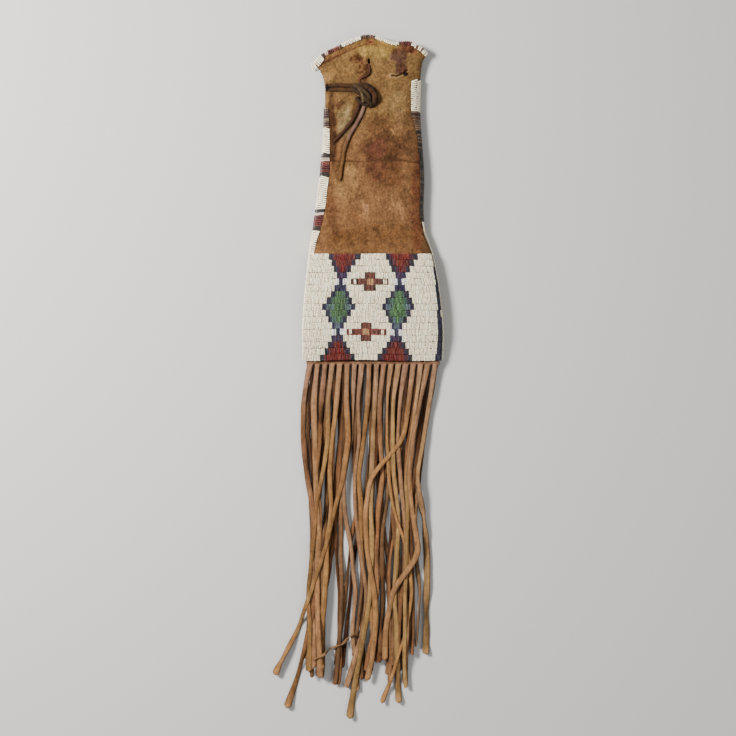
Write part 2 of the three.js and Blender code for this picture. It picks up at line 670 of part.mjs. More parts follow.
/** A fringe cut from one piece of hide: a header under the bottom seam, and strands that lie in layers. */
function addFringe(name, strands, strandWidth, level, headerZ, lowestZ) {
  const at = measure(PANEL_BOTTOM, 0);
  const left = at.middle - at.half + HEADER_INSET;
  const width = 2 * (at.half - HEADER_INSET);
  const top = PANEL_BOTTOM - GAP;
  const pitch = width / STRAND_COUNT;
  const half = HEADER_THICKNESS / 2;
  let fringe = block(left, left + width, top - HEADER_LENGTH, top, headerZ - half, headerZ + half);
  strands.forEach(([layer, lengthShare, drifts, tipDrift], i) => {
    const rootX = left + (i + 0.5) * pitch;
    const rootY = top - HEADER_LENGTH / 2;
    const layerZ = lowestZ + STRAND_THICKNESS / 2 + layer * STRAND_LAYER;
    const point = (drift, share) => {
      const drop = share * FRINGE_LENGTH;
      const z = THREE.MathUtils.lerp(headerZ, layerZ, Math.min(drop / SETTLE_LENGTH, 1));
      return new THREE.Vector3(rootX + drift * pitch, rootY - drop, z);
    };
    const levels = drifts.map((drift, row) => point(drift, (row + 1) * level));
    const route = [point(0, 0), ...levels, point(tipDrift, lengthShare)];
    fringe = fringe.add(strand(route, strandWidth));
  });
  addPiece(name, fringe, FRINGE);
}

function addFringes() {
  const seamMiddle = BEAD_STACK + SEAM_THICKNESS / 2;
  const apart = (HEADER_THICKNESS + GAP) / 2;
  const frontFoot = 2 * STRAND_LAYER;
  addFringe("back_fringe", BACK_STRANDS, BACK_STRAND_WIDTH, BACK_LEVEL, seamMiddle - apart, 0);
  addFringe("front_fringe", FRONT_STRANDS, FRONT_STRAND_WIDTH, FRONT_LEVEL, seamMiddle + apart, frontFoot);
}

/** The tie thong: the knot, and the pieces that run to it and hang from it over the front hide. */
function addThong() {
  const radius = THONG_DIAMETER / 2;
  const ring = new THREE.Shape();
  ring.absarc(0, 0, radius, 0, 2 * Math.PI);
  const sides = new THREE.Shape(ring.getSpacedPoints(THONG_SIDES).slice(0, THONG_SIDES));
  for (const [name, route] of Object.entries(THONG_ROUTES)) {
    const points = route.map(([x, y]) => new THREE.Vector3(x, y, hideHeight(x, y, radius) + GAP + radius));
    const path = new THREE.CatmullRomCurve3(points);
    const run = { steps: points.length, bevelEnabled: false, extrudePath: path };
    addPiece(name, solid(new THREE.ExtrudeGeometry(sides, run)), THONG);
  }
  const [x, y] = KNOT_CENTRE;
  const knot = new THREE.SphereGeometry(0.5, KNOT_SIDES, KNOT_RINGS);
  knot.scale(...KNOT_SIZE);
  knot.translate(x, y, hideHeight(x, y, 0) + GAP + KNOT_SIZE[2] / 2);
  addPiece("tie_knot", solid(knot), THONG);
}

addHides();
addPanels();
addSideStrip("left", -1, LEFT_STRIP_TOP, LEFT_STRIP_WIDTHS, LEFT_BANDS);
addSideStrip("right", 1, RIGHT_STRIP_TOP, RIGHT_STRIP_WIDTHS, RIGHT_BANDS);
addMouthEdging();
addFringes();
addThong();

export default bag;
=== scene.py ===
"""Beaded pipe bag, seen from above as it lies on its back: hide, beadwork, fringe and tie thong.
"""
import math

import bpy
import numpy as np
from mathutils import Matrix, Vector


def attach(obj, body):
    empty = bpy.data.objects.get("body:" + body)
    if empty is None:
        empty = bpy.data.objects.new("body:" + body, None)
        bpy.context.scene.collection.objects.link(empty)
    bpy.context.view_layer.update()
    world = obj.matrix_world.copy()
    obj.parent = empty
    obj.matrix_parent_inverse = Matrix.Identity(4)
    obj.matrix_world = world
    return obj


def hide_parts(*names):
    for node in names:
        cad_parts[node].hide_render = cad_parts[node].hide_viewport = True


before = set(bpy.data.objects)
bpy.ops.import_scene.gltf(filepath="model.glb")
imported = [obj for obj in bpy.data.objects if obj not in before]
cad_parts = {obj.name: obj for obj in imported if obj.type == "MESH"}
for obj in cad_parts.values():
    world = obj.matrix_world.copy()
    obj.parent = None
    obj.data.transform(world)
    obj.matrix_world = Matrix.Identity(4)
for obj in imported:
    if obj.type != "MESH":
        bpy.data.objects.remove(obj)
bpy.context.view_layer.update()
MM = 0.001
rng = np.random.default_rng(4526)

# Picture frame of the photo: its width, the pixel of the part's origin, and millimetres in a pixel
PHOTO_WIDTH, PHOTO_X, PHOTO_Y, PIXEL = 736, 371, 307.25, 1.175

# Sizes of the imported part
GAP = 0.3
PANEL_TOP, PANEL_BOTTOM, LANES = 62.5, -62.5, 17
LANE = (PANEL_TOP - PANEL_BOTTOM) / LANES
BEAD_STACK, HIDE_WALL, SEAM_MIDDLE = 2.3, 1.8, 6.8
LEFT_SIDE_SHARE, RIGHT_SIDE_SHARE, SPLIT_SHARE = 0.52, 0.36, 0.48
LEFT_SHOULDER, RIGHT_SHOULDER, BELLY_SHOULDER, BELLY_FLAT = 3.2, 2.3, 4, 1.5
SIDE_LANE_TOP, SIDE_LANE_BOTTOM, LEFT_LANE = 3, 10, 5.5
STRIP_FOOT = 3.0
MOUTH_TOP, RIM_SHIFT, HALF_EARS = 318.5, -1.6, 67.5
# Figures of the front panel: columns are x of the middle in the top lane and the bow between the ends
MOTIF_STEP, CONNECTOR_HALF, MOTIF_SPREAD = 4, 2.3, 0.1
LEFT_COLUMN, RIGHT_COLUMN, CROSS_COLUMN = (-31, -2.3), (36.1, 0), (0.8, 0)
COLUMN_LEAN = -8.2
CROSS_LANES = (5, 13)
CROSS_ARM, CROSS_POST, CROSS_SQUARE_X = 21.6, 6.1, 17.4
# Hide at places along the bag: y, width, shift, back height, front height
STATIONS = np.array([
    (PANEL_BOTTOM, 162, 2.4, 2.3, 11.3), (PANEL_BOTTOM + 5 * LANE, 163, 2.4, 2.3, 22.3),
    (PANEL_TOP, 143, 0, 2.3, 22.3), (90.5, 129, -2.6, 0, 19), (157.5, 119, 1.2, 0, 19),
    (235.5, 110, 1.2, 0, 16), (273.5, 115, 0.6, 0, 16), (288.5, 127, -3.2, 2.9, 16.9),
    (300.5, 135, -1.6, 2.9, 16.9), (443.5, 135, -1.6, 2.9, 16.9),
])
# Mouth edge: shares of half the ear span, and drops below the highest point
RIM = np.array([
    (-1.05, 33), (-0.97, 31.5), (-0.83, 22.5), (-0.55, 13), (-0.42, 8.4), (-0.2, 2.6), (-0.06, 0),
    (0.08, 0.7), (0.28, 5.8), (0.43, 8.9), (0.56, 7.6), (0.69, 7.6), (0.82, 11.4), (0.93, 15), (1.0, 19),
    (1.09, 24),
])
RIM = np.stack([RIM_SHIFT + RIM[:, 0] * HALF_EARS, MOUTH_TOP - RIM[:, 1]], 1)
# Side strips: direction, top, widths on the front by rise above the panel, and bands from the top down
STRIPS = {
    "left": (-1, 234.5, np.array([(0, 7.2), (50, 12.4), (100, 12), (172, 6.5)]), [
        ("dark", 23.5), ("white", 30.5), ("dark", 4.7), ("pale", 4.7), ("red", 12.9), ("dark", 4.7),
        ("white", 38.8), ("dark", 3.5), ("pale", 3.5), ("red", 12.9), ("dark", 4.7), ("white", 27.8),
    ]),
    "right": (1, 267.5, np.array([(0, 2.4), (34, 3), (44, 5.6), (138, 6), (165, 11.6), (205, 12.6)]), [
        ("white", 37.6), ("dark", 11), ("pale", 32), ("dark", 86), ("white", 38.4),
    ]),
}
# Mouth edging: colours and the shares of half the ear span where they end
EDGING = [
    ("white", -0.83), ("pale", -0.72), ("red", -0.53), ("white", -0.15), ("dark", 0.08), ("white", 0.51),
    ("red", 0.72), ("white", 2),
]
FRINGE_LENGTH, FRINGE_LEFT, FRINGE_WIDTH, STRAND_COUNT = 421, -75.6, 156, 18
PITCH = FRINGE_WIDTH / STRAND_COUNT
FRONT_LEVEL, BACK_LEVEL = 0.107, 0.214
# Strands from left to right: layer, share of the length, drifts in pitches at each level and at the tip
FRONT_STRANDS = [
    (0, 0.857, [-0.92, -0.92, -0.35, 0.35, 0.23, -0.35, -0.35], -0.58),
    (1, 0.881, [-0.58, -0.35, -0.23, 0.12, -0.12, -0.58, -0.69], -0.35),
    (0, 0.971, [-0.46, -0.69, -1.04, -0.58, -0.69, -1.15, -1.96, -2.88], -4.5),
    (1, 0.862, [-0.58, -0.58, -1.38, -2.19, -2.88, -3.12, -2.88], -3),
    (0, 0.876, [-0.46, -1.15, -1.5, -1.38, -1.85, -2.08, -2.42], -2.77),
    (2, 0.874, [-0.12, 0.23, -0.58, -1.96, -3.23, -4.73, -6.23], -9.23),
    (0, 0.919, [-0.23, -0.35, -1.38, -1.15, -0.35, -0.12, -0.92, -0.35], -0.23),
    (1, 0.91, [-0.46, -0.35, -1.04, -0.92, -0.23, 0.58, 0, -1.38], -2.31),
    (0, 0.865, [-0.23, -0.69, -1.5, -1.15, -0.92, -0.58, 0.23], -0.35),
    (1, 1, [-0.23, -0.46, -0.58, -0.69, -0.58, -0.92, -1.85, -2.65], -3.81),
    (0, 0.865, [-0.58, -0.58, -0.23, -0.92, -1.04, -0.92, -1.38], -2.42),
    (1, 0.957, [-0.69, -0.69, -0.35, 0.46, 1.96, 2.54, 1.85, 0.46], -1.5),
    (0, 0.955, [-0.69, -0.81, -0.69, 0, -0.12, -0.46, -0.46, -0.46], -0.46),
    (1, 0.907, [-0.81, -1.04, -0.69, 0, -0.12, -0.23, -0.23, -0.35], -0.35),
    (2, 0.891, [-0.58, -1.5, -5.88, -6.46, -6.12, -5.77, -6.12, -6.81], -7.15),
    (1, 0.912, [-0.58, -1.38, -2.08, -1.73, -1.62, -1.73, -1.62, -1.5], -1.38),
    (2, 0.834, [-1.04, -1.96, -2.42, -1.85, -1.27, -4.85, -6], -6.23),
    (1, 0.817, [-0.81, -1.73, -2.65, -1.73, -1.27, -1.27, -1.38], -1.62),
]
BACK_STRANDS = [
    (0, 0.831, [-0.46, 0.46, 0.35], 0), (1, 0.869, [-0.58, -0.23, -1.04], -1.15),
    (0, 0.836, [-0.35, -1.15, -0.81], -1.62), (1, 0.881, [-0.23, -0.69, -1.73], -2.31),
    (0, 0.819, [0.23, -0.92, -1.5], -2.54), (1, 0.903, [-0.58, -1.27, -0.98, -1.6], -1.9),
    (0, 0.855, [0.12, 0.23, -0.81], -1.73), (1, 0.827, [-0.69, -0.46, 0.23], -0.69),
    (0, 0.888, [0.35, -0.58, -1.15], -1.04), (1, 0.843, [-0.23, -1.04, -0.35], 0.23),
    (0, 0.874, [-0.69, -0.35, 0.58], 0), (1, 0.812, [-0.23, -1.27, -1.38], -1.96),
    (0, 0.895, [-0.81, -0.69, -1.5], -1.38), (1, 0.85, [-0.92, -1.73, -1.04], -1.5),
    (0, 0.865, [-1.04, -0.81, -1.38], -2.08), (1, 0.831, [-1.38, -2.08, -1.96], -2.54),
    (0, 0.819, [-1.73, -2.42, -2.08], -2.42), (1, 0.796, [-1.85, -3, -2.19], -2.31),
]
THONG_WIDTH = 4.4
LEFT_SLIT, UPPER_SLIT, KNOT_CENTRE = (-48, 257.5), (-2.3, 287), (-9.5, 250)
THONG_ROUTES = {
    "tie_band": [(-47.4, 260.2), (-42, 260.3), (-36, 260.2), (-29, 259.8), (-23, 259.5), (-18.2, 259.2)],
    "tie_band_lower": [(-47.4, 255.1), (-42, 255.1), (-36, 255), (-29, 254.6), (-24.5, 254.3), (-20, 254)],
    "tie_neck_piece": [
        (-2.3, 285.5), (-1.6, 279.5), (-1.4, 275.4), (-4, 271.6), (-8.6, 270.4), (-13, 269), (-14.2, 265.4),
        (-12.8, 262.4),
    ],
    "tie_tail_long": [
        (-7.6, 237.2), (-9.6, 230), (-12.9, 222.4), (-17.4, 214), (-22.3, 205.9), (-26.3, 198.2),
        (-29.4, 190.6), (-31.6, 182), (-32.9, 173), (-34.3, 165.5), (-35.3, 158.9), (-36.4, 148.3),
    ],
    "tie_tail_short": [
        (-13.8, 238.4), (-16, 231), (-19.2, 223.5), (-23.4, 216.6), (-28.2, 210.6), (-33.2, 204.6),
        (-38.6, 198.9), (-44, 193.4),
    ],
}


# Colours
def lin(r, g, b):
    """A colour as seen, 0 to 255, as linear light."""
    c = np.array([r, g, b], float) / 255
    return np.where(c <= 0.04045, c / 12.92, ((c + 0.055) / 1.055) ** 2.4)


# The lights and the picture's tone curve lift and flatten the colours of hide: this takes them back.
SEEN_GAIN, SEEN_CONTRAST = 0.59, 1.18


def seen(r, g, b):
    """Colour of a hide that looks like this one, 0 to 255, under the lights here."""
    return SEEN_GAIN * lin(r, g, b) ** SEEN_CONTRAST


def mix(colour, tone, share):
    """Colours with a share of a tone mixed in at each place."""
    share = np.asarray(share)[..., None]
    return colour * (1 - share) + tone * share


# Camera, floor and lights, in metres
LENS, SENSOR = 85, 36
CAMERA_X, CAMERA_Y, SHARP_HEIGHT = -0.0035, -0.0714, 0.012
FLOOR_HALF, FLOOR_DROP, FLOOR_TONE, FLOOR_ROUGH = 6, 0.0002, lin(192, 191, 188), 0.9
LIGHT_TARGET = Vector((0, -0.08, 0))
# Place, size, power and colour
LIGHTS = {
    "key": ((-1.15, 0.5, 1.15), 0.5, 76, (1, 0.97, 0.93)),
    "fill": ((0.9, -0.7, 1.7), 1.4, 10, (0.97, 0.98, 1)),
}
WORLD_STRENGTH = 0.38


def add_object(name, data):
    made = bpy.data.objects.new(name, data)
    bpy.context.scene.collection.objects.link(made)
    return made


def add_camera():
    """Straight above the bag, with the photo's frame."""
    data = bpy.data.cameras.new("camera")
    data.lens, data.sensor_width = LENS, SENSOR
    cam = add_object("camera", data)
    width = PHOTO_WIDTH * PIXEL * MM
    cam.location = (CAMERA_X, CAMERA_Y, width * LENS / SENSOR + SHARP_HEIGHT)
    bpy.context.scene.camera = cam


def add_light(name, place, size, power, colour):
    data = bpy.data.lights.new(name, "AREA")
    data.shape, data.size, data.energy, data.color = "DISK", size, power, colour
    light = add_object(name, data)
    light.location = place
    light.rotation_euler = (LIGHT_TARGET - Vector(place)).to_track_quat("-Z", "Y").to_euler()


def add_world():
    world = bpy.data.worlds.new("studio")
    world.use_nodes = True
    background = world.node_tree.nodes["Background"]
    background.inputs["Color"].default_value = (1, 1, 1, 1)
    background.inputs["Strength"].default_value = WORLD_STRENGTH
    bpy.context.scene.world = world


def principled(name, colour, roughness, **values):
    """A material with plain values on its shader."""
    material = bpy.data.materials.new(name)
    material.use_nodes = True
    shader = material.node_tree.nodes["Principled BSDF"]
    shader.inputs["Base Color"].default_value = (*colour, 1)
    shader.inputs["Roughness"].default_value = roughness
    set_inputs(shader, values)
    return material, material.node_tree, shader


def set_inputs(node, values):
    for socket, value in values.items():
        node.inputs[socket.replace("_", " ")].default_value = value


def add_floor():
    mesh = bpy.data.meshes.new("floor")
    corners = [(x * FLOOR_HALF, y * FLOOR_HALF, 0) for x, y in ((-1, -1), (1, -1), (1, 1), (-1, 1))]
    mesh.from_pydata(corners, [], [(0, 1, 2, 3)])
    floor = add_object("floor", mesh)
    floor.location.z = -FLOOR_DROP
    mesh.materials.append(principled("floor_paper", FLOOR_TONE, FLOOR_ROUGH)[0])


# Lines
def unit(vectors):
    return vectors / np.linalg.norm(vectors, axis=-1, keepdims=True)


def cubic(x, xs, vs):
    """Smooth curve through points, with straight ends."""
    x = np.asarray(x, float)
    last = len(xs) - 1
    i = np.clip(np.searchsorted(xs, x, side="right"), 1, last)
    t0, t1 = xs[i - 1], xs[i]
    before, after = np.where(i == 1, i, i - 2), np.where(i == last, i - 1, np.minimum(i + 1, last))
    half = (t1 - t0) / 2
    wp, wn = half / (t0 - xs[before]), half / (xs[after] - t1)
    p = (x - t0) / (t1 - t0)
    pp, ppp = p * p, p * p * p
    return (
        (-wp * ppp + 2 * wp * pp - wp * p) * vs[before]
        + ((1 + wp) * ppp + (-1.5 - 2 * wp) * pp + (-0.5 + wp) * p + 1) * vs[i - 1]
        + ((-1 - wn) * ppp + (1.5 + wn) * pp + 0.5 * p) * vs[i]
        + (wn * ppp - wn * pp) * vs[after]
    )


def run_along(line):
    """Length of a line up to each of its points."""
    return np.concatenate([[0], np.cumsum(np.linalg.norm(np.diff(line, axis=0), axis=1))])


def line_length(line):
    return run_along(line)[-1]


def line_at(line, run, at):
    return np.stack([np.interp(at, run, column) for column in line.T], 1)


LOOK_AHEAD = 0.8


def along(line, places):
    """Points and outward normals of a line [x, z] at shares of its length."""
    run = run_along(line)
    at = np.asarray(places) * run[-1]
    ahead = line_at(line, run, np.minimum(at + LOOK_AHEAD, run[-1]))
    tangent = unit(ahead - line_at(line, run, np.maximum(at - LOOK_AHEAD, 0)))
    return line_at(line, run, at), np.stack([-tangent[:, 1], tangent[:, 0]], 1)


def spaced(points, step):
    """A smooth path through points, at even steps, and the lengths up to them."""
    points = np.asarray(points, float)
    at = run_along(points)
    fine = np.linspace(0, at[-1], max(int(at[-1] / 0.25), 8))
    line = np.stack([cubic(fine, at, column) for column in points.T], 1)
    run = run_along(line)
    places = np.linspace(0, run[-1], max(int(round(run[-1] / step)), 4) + 1)
    return line_at(line, run, places), places


def blurred(values, weights, ends="edge", **how):
    """Each value as the weighted mean of those round it."""
    padded = np.pad(values, len(weights) // 2, ends, **how)
    return np.convolve(padded, weights / weights.sum(), "valid")


def highest(values, reach):
    """Each value as the highest of those within reach."""
    return np.stack([np.roll(values, k) for k in range(-reach, reach + 1)]).max(0)


def eased(line, reach):
    """A line with its bends eased: each place is the mean of those within reach, and the ends stay."""
    weights = np.ones(2 * reach + 1)
    return np.stack([blurred(column, weights, "reflect", reflect_type="odd") for column in line.T], 1)


def near_line(x, y, points):
    """Distance of places from a line of points."""
    best = np.full(np.shape(x), np.inf)
    for (x0, y0), (x1, y1) in zip(points[:-1], points[1:]):
        dx, dy = x1 - x0, y1 - y0
        t = np.clip(((x - x0) * dx + (y - y0) * dy) / (dx * dx + dy * dy), 0, 1)
        best = np.minimum(best, np.hypot(x - x0 - t * dx, y - y0 - t * dy))
    return best


# Form of the bag, as in the part
DENSE = -np.cos(np.linspace(0, math.pi, 361))


def measure(y):
    """Middle, half width, foot, top and the two side heights of the hide at y."""
    at = STATIONS[:, 0]
    half, middle = cubic(y, at, STATIONS[:, 1]) / 2, cubic(y, at, STATIONS[:, 2])
    foot, top = np.interp(y, at, STATIONS[:, 3]), cubic(y, at, STATIONS[:, 4])
    left, right = (foot + share * (top - foot) for share in (LEFT_SIDE_SHARE, RIGHT_SIDE_SHARE))
    return middle, half, foot, top, left, right


def round_off(share, squareness):
    return np.maximum(1 - np.abs(share) ** squareness, 0) ** (1 / squareness)


def front_height(y, share):
    """Height of the front hide at shares of the half width."""
    _, _, _, top, left, right = measure(y)
    side = left + (right - left) * (share + 1) / 2
    return side + (top - side) * round_off(share, np.where(share < 0, LEFT_SHOULDER, RIGHT_SHOULDER))


def back_height(y, share):
    """Height of the back hide at shares of the half width."""
    _, _, foot, _, left, right = measure(y)
    side = left + (right - left) * (share + 1) / 2
    return np.maximum(foot, side - (side - foot) * BELLY_FLAT * round_off(share, BELLY_SHOULDER))


def section(y, front=True):
    """Dense line over the front from left to right, or back under the belly from right to left, as [x, z]."""
    middle, half = measure(y)[:2]
    share = DENSE if front else -DENSE
    height = front_height if front else back_height
    return np.stack([middle + share * half, height(np.full(len(share), y), share)], 1)


def raised(flat, y):
    """Places [x, z] of a section as points [x, y, z]."""
    return np.stack([flat[:, 0], np.broadcast_to(y, len(flat)), flat[:, 1]], 1)


def rim_height(x):
    """y of the mouth edge above x."""
    return cubic(np.clip(x, RIM[0, 0], RIM[-1, 0]), RIM[:, 0], RIM[:, 1])


def hide_top(x, y):
    """Height of the front hide at places, with its relief."""
    middle, half = measure(y)[:2]
    return front_height(y, np.clip((x - middle) / half, -1, 1)) + hide_relief(x, y)


def strip_width(y, widths):
    return np.interp(y - PANEL_TOP, widths[:, 0], widths[:, 1])


# Noise
HASH_X, HASH_Y, HASH_SEED, HASH_MIX = 374761393, 668265263, 974126177, 1274126177
OCTAVE_SHRINK, OCTAVE_X, OCTAVE_Y = 2.1, 7.3, -3.1


def lattice(x, y, seed):
    """Smooth noise from -1 to 1 with features of size 1."""
    xi, yi = np.floor(x).astype(np.int64), np.floor(y).astype(np.int64)
    fx, fy = x - xi, y - yi
    fx, fy = fx * fx * (3 - 2 * fx), fy * fy * (3 - 2 * fy)

    def corner(dx, dy):
        n = (xi + dx) * HASH_X + (yi + dy) * HASH_Y + seed * HASH_SEED
        n = (n ^ (n >> 13)) * HASH_MIX
        return ((n ^ (n >> 16)) & 0xFFFF) / 32767.5 - 1

    low = corner(0, 0) * (1 - fx) + corner(1, 0) * fx
    high = corner(0, 1) * (1 - fx) + corner(1, 1) * fx
    return low * (1 - fy) + high * fy


def cloud(x, y, size, seed, octaves=3):
    """Soft noise from about -1 to 1 with features of a size."""
    total, strength = 0, 1
    for octave in range(octaves):
        at_x, at_y = x / size + OCTAVE_X * octave, y / size + OCTAVE_Y * octave
        total = total + strength * lattice(at_x, at_y, seed + octave)
        size, strength = size / OCTAVE_SHRINK, strength / 2
    return total / 1.5


def ripple(places, size, seed, octaves=3, row=0):
    """Soft noise along a line."""
    return cloud(places, places * 0 + row, size, seed, octaves)


def smooth(low, high, x):
    t = np.clip((x - low) / (high - low), 0, 1)
    return t * t * (3 - 2 * t)


def ridge(distance, width):
    """One at no distance, falling off smoothly."""
    return np.exp(-(distance / width) ** 2)


# Pieces and materials
def make_mesh(name, verts, faces, colours, material, slot, nodes=(), uvs=None):
    """A smooth mesh object from points, quads and a colour for each point. It stands for the nodes."""
    verts, faces = np.ascontiguousarray(verts, np.float32) * MM, np.ascontiguousarray(faces, np.int32)
    mesh = bpy.data.meshes.new(name)
    mesh.vertices.add(len(verts))
    mesh.vertices.foreach_set("co", verts.ravel())
    mesh.loops.add(faces.size)
    mesh.loops.foreach_set("vertex_index", faces.ravel())
    mesh.polygons.add(len(faces))
    mesh.polygons.foreach_set("loop_start", np.arange(0, faces.size, 4, dtype=np.int32))
    mesh.polygons.foreach_set("loop_total", np.full(len(faces), 4, np.int32))
    mesh.polygons.foreach_set("use_smooth", np.ones(len(faces), bool))
    if uvs is not None:
        layer = mesh.uv_layers.new(name="OFBake")
        layer.data.foreach_set("uv", np.ascontiguousarray(uvs, np.float32).ravel())
    tint = mesh.attributes.new("tint", "FLOAT_COLOR", "POINT")
    rgba = np.concatenate([np.clip(colours, 0, 1), np.ones((len(verts), 1))], 1)
    tint.data.foreach_set("color", np.ascontiguousarray(rgba, np.float32).ravel())
    mesh.update(calc_edges=True)
    mesh.validate()
    mesh.materials.append(material)
    piece = add_object(name, mesh)
    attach(piece, "root")
    if nodes:
        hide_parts(*nodes)
    return piece


def joined(parts):
    """Many points, quads and tints as one."""
    verts, faces, tints = zip(*parts)
    starts = np.cumsum([0] + [len(v) for v in verts[:-1]])
    faces = [quads + start for quads, start in zip(faces, starts)]
    return np.concatenate(verts), np.concatenate(faces), np.concatenate(tints)


def grid_faces(rows, cols, closed=False):
    """Quads of a grid of points. Where it is closed, its last column joins its first."""
    i, j = np.meshgrid(np.arange(rows - 1), np.arange(cols if closed else cols - 1), indexing="ij")
    k = (j + 1) % cols
    return np.stack([i * cols + j, (i + 1) * cols + j, (i + 1) * cols + k, i * cols + k], -1).reshape(-1, 4)


TURNED = [0, 3, 2, 1]  # corners of a quad that faces the other way


def tinted(name, roughness, **values):
    """A material whose colour comes from the piece's own tints."""
    material, tree, shader = principled(name, (0.5, 0.5, 0.5), roughness, **values)
    source = tree.nodes.new("ShaderNodeAttribute")
    source.attribute_name = "tint"
    return material, tree, shader, source.outputs["Color"]


def bead_material(name, roughness):
    material, tree, shader, tint = tinted(name, roughness, Specular_IOR_Level=0.5)
    tree.links.new(tint, shader.inputs["Base Color"])
    return material


def add_node(tree, kind, operation=None, **values):
    node = tree.nodes.new("ShaderNode" + kind)
    if operation:
        node.operation = operation
    set_inputs(node, values)
    return node


def noise_node(tree, where, size, detail, stretch=None):
    """Noise with features of a size in metres, longer along the bag where it is stretched."""
    noise = add_node(tree, "TexNoise", Scale=1 / size, Detail=detail, Roughness=0.65)
    if stretch:
        turn = add_node(tree, "Mapping", Scale=(1, 1 / stretch, 1))
        tree.links.new(where, turn.inputs["Vector"])
        where = turn.outputs["Vector"]
    tree.links.new(where, noise.inputs["Vector"])
    return noise.outputs["Fac"]


def shade_range(tree, noise, amount):
    """Noise as a factor round one."""
    ramp = add_node(tree, "MapRange", From_Min=0.28, From_Max=0.72, To_Min=1 - amount, To_Max=1 + amount)
    tree.links.new(noise, ramp.inputs["Value"])
    return ramp.outputs["Result"]


def suede_material(name, mottle_size, mottle, streak, grain_size, bump):
    """Napped hide: its tints, mottled, streaked and grained, with a soft nap. Sizes are in metres."""
    values = dict(Specular_IOR_Level=0.12, Sheen_Weight=0.03, Sheen_Roughness=0.5)
    material, tree, shader, tint = tinted(name, 0.9, **values)
    where = add_node(tree, "TexCoord").outputs["Object"]
    big = noise_node(tree, where, mottle_size, 6)
    long = noise_node(tree, where, mottle_size * 0.8, 4, 5)
    small = noise_node(tree, where, grain_size, 3)
    both = add_node(tree, "Math", "MULTIPLY")
    scale = add_node(tree, "VectorMath", "SCALE")
    height = add_node(tree, "Math", "ADD")
    nap = add_node(tree, "Bump", Strength=bump, Distance=0.002)
    for output, socket in (
        (shade_range(tree, big, mottle), both.inputs[0]),
        (shade_range(tree, long, streak), both.inputs[1]),
        (tint, scale.inputs[0]),
        (both.outputs["Value"], scale.inputs["Scale"]),
        (scale.outputs["Vector"], shader.inputs["Base Color"]),
        (big, height.inputs[0]),
        (small, height.inputs[1]),
        (height.outputs["Value"], nap.inputs["Height"]),
        (nap.outputs["Normal"], shader.inputs["Normal"]),
    ):
        tree.links.new(output, socket)
    return material


HIDE = suede_material("smoked_hide", 0.0024, 0.5, 0.16, 0.0009, 0.7)
FRINGE = suede_material("fringe_hide", 0.004, 0.26, 0.4, 0.0011, 0.5)
THONG = suede_material("thong_hide", 0.004, 0.28, 0.2, 0.001, 0.6)
THREAD = suede_material("sinew", 0.003, 0.15, 0.1, 0.001, 0.2)

# Ribbons of hide, for the thong and the fringe: points across one face, and round the whole section
STRIP_POINTS = 7
RING = 2 * STRIP_POINTS
# Round the section, from one at the edges to none in the middle of a face
RING_EDGE = np.abs(np.tile(np.linspace(-1, 1, STRIP_POINTS), 2))
EDGE_ROUND = 0.93  # share of the half width at which the edge's rounding ends
LEAST_CURL = 0.02


def ribbon(path, width, thick, twist, curl):
    """Closed flat strip along a path: points and quads. Twist turns it, and curl rolls its edges down."""
    width, thick, twist, curl = (np.broadcast_to(value, len(path)) for value in (width, thick, twist, curl))
    ahead = unit(np.gradient(path, axis=0))
    across = unit(np.cross([0, 0, 1.0], ahead))
    up = np.cross(ahead, across)
    wide = across * np.cos(twist)[:, None] + up * np.sin(twist)[:, None]
    out = up * np.cos(twist)[:, None] - across * np.sin(twist)[:, None]
    a, b, na, nb = cross_line(width, curl)
    half = thick[:, None] / 2 * np.sqrt(1 - np.linspace(-EDGE_ROUND, EDGE_ROUND, STRIP_POINTS) ** 2)
    faces = []
    for side in (1, -1):
        aa, bb = a + side * half * na, b + side * half * nb
        faces.append(path[:, None] + wide[:, None] * aa[..., None] + out[:, None] * bb[..., None])
    rings = np.concatenate([faces[0], faces[1][:, ::-1]], 1)
    c = np.arange(STRIP_POINTS - 1)
    cap = np.stack([c, c + 1, RING - 2 - c, RING - 1 - c], 1)
    end = (len(path) - 1) * RING
    quads = np.concatenate([grid_faces(len(path), RING, True), cap, cap[:, ::-1] + end])
    return rings.reshape(-1, 3), quads


def cross_line(width, curl):
    """Middle line of a strip's section and its normals, for each place along the strip."""
    curl = np.maximum(curl, LEAST_CURL)
    angle = np.linspace(-1, 1, STRIP_POINTS)[None] * curl[:, None]
    radius = (width / 2 / curl)[:, None]
    a, b = radius * np.sin(angle), -radius * (1 - np.cos(angle))
    return a, b - b.mean(1, keepdims=True), np.sin(angle), np.cos(angle)


def strip_end(places, width, taper):
    """Width of a strip that ends in a rounded point."""
    left = places[-1] - places
    return width * np.where(left < taper, np.sqrt(np.clip(1 - (1 - left / taper) ** 2, 0.03, 1)), 1)


# Tie thong: its light and dark tones, and its strips' sizes where they differ
THONG_TONES = {
    "tie_band": (seen(98, 72, 47), seen(58, 38, 22)),
    "tie_band_lower": (seen(108, 80, 52), seen(62, 42, 24)),
    "tie_neck_piece": (seen(126, 84, 62), seen(48, 24, 16)),
    "tie_tail_long": (seen(152, 121, 106), seen(62, 39, 27)),
    "tie_tail_short": (seen(94, 65, 49), seen(32, 19, 11)),
}
TAIL_TIP = seen(136, 100, 62)
THONG_WIDTHS = {"tie_neck_piece": 3.2, "tie_tail_short": 3.5}
TAIL_TAPERS = {"tie_tail_long": 9, "tie_tail_short": 7}
THONG_STEP, THONG_THICK, THONG_LIFT = 1.0, 2.1, 1.35
BAND_TUCK = 3.4  # how far the bands run on past their slit
NECK_EASE = 3  # steps each way over which the neck piece's bends are eased
SLIT_DEPTH, SLIT_DIVE = 4.2, 3.4  # how deep the strips start in their slits, and how far on they are out
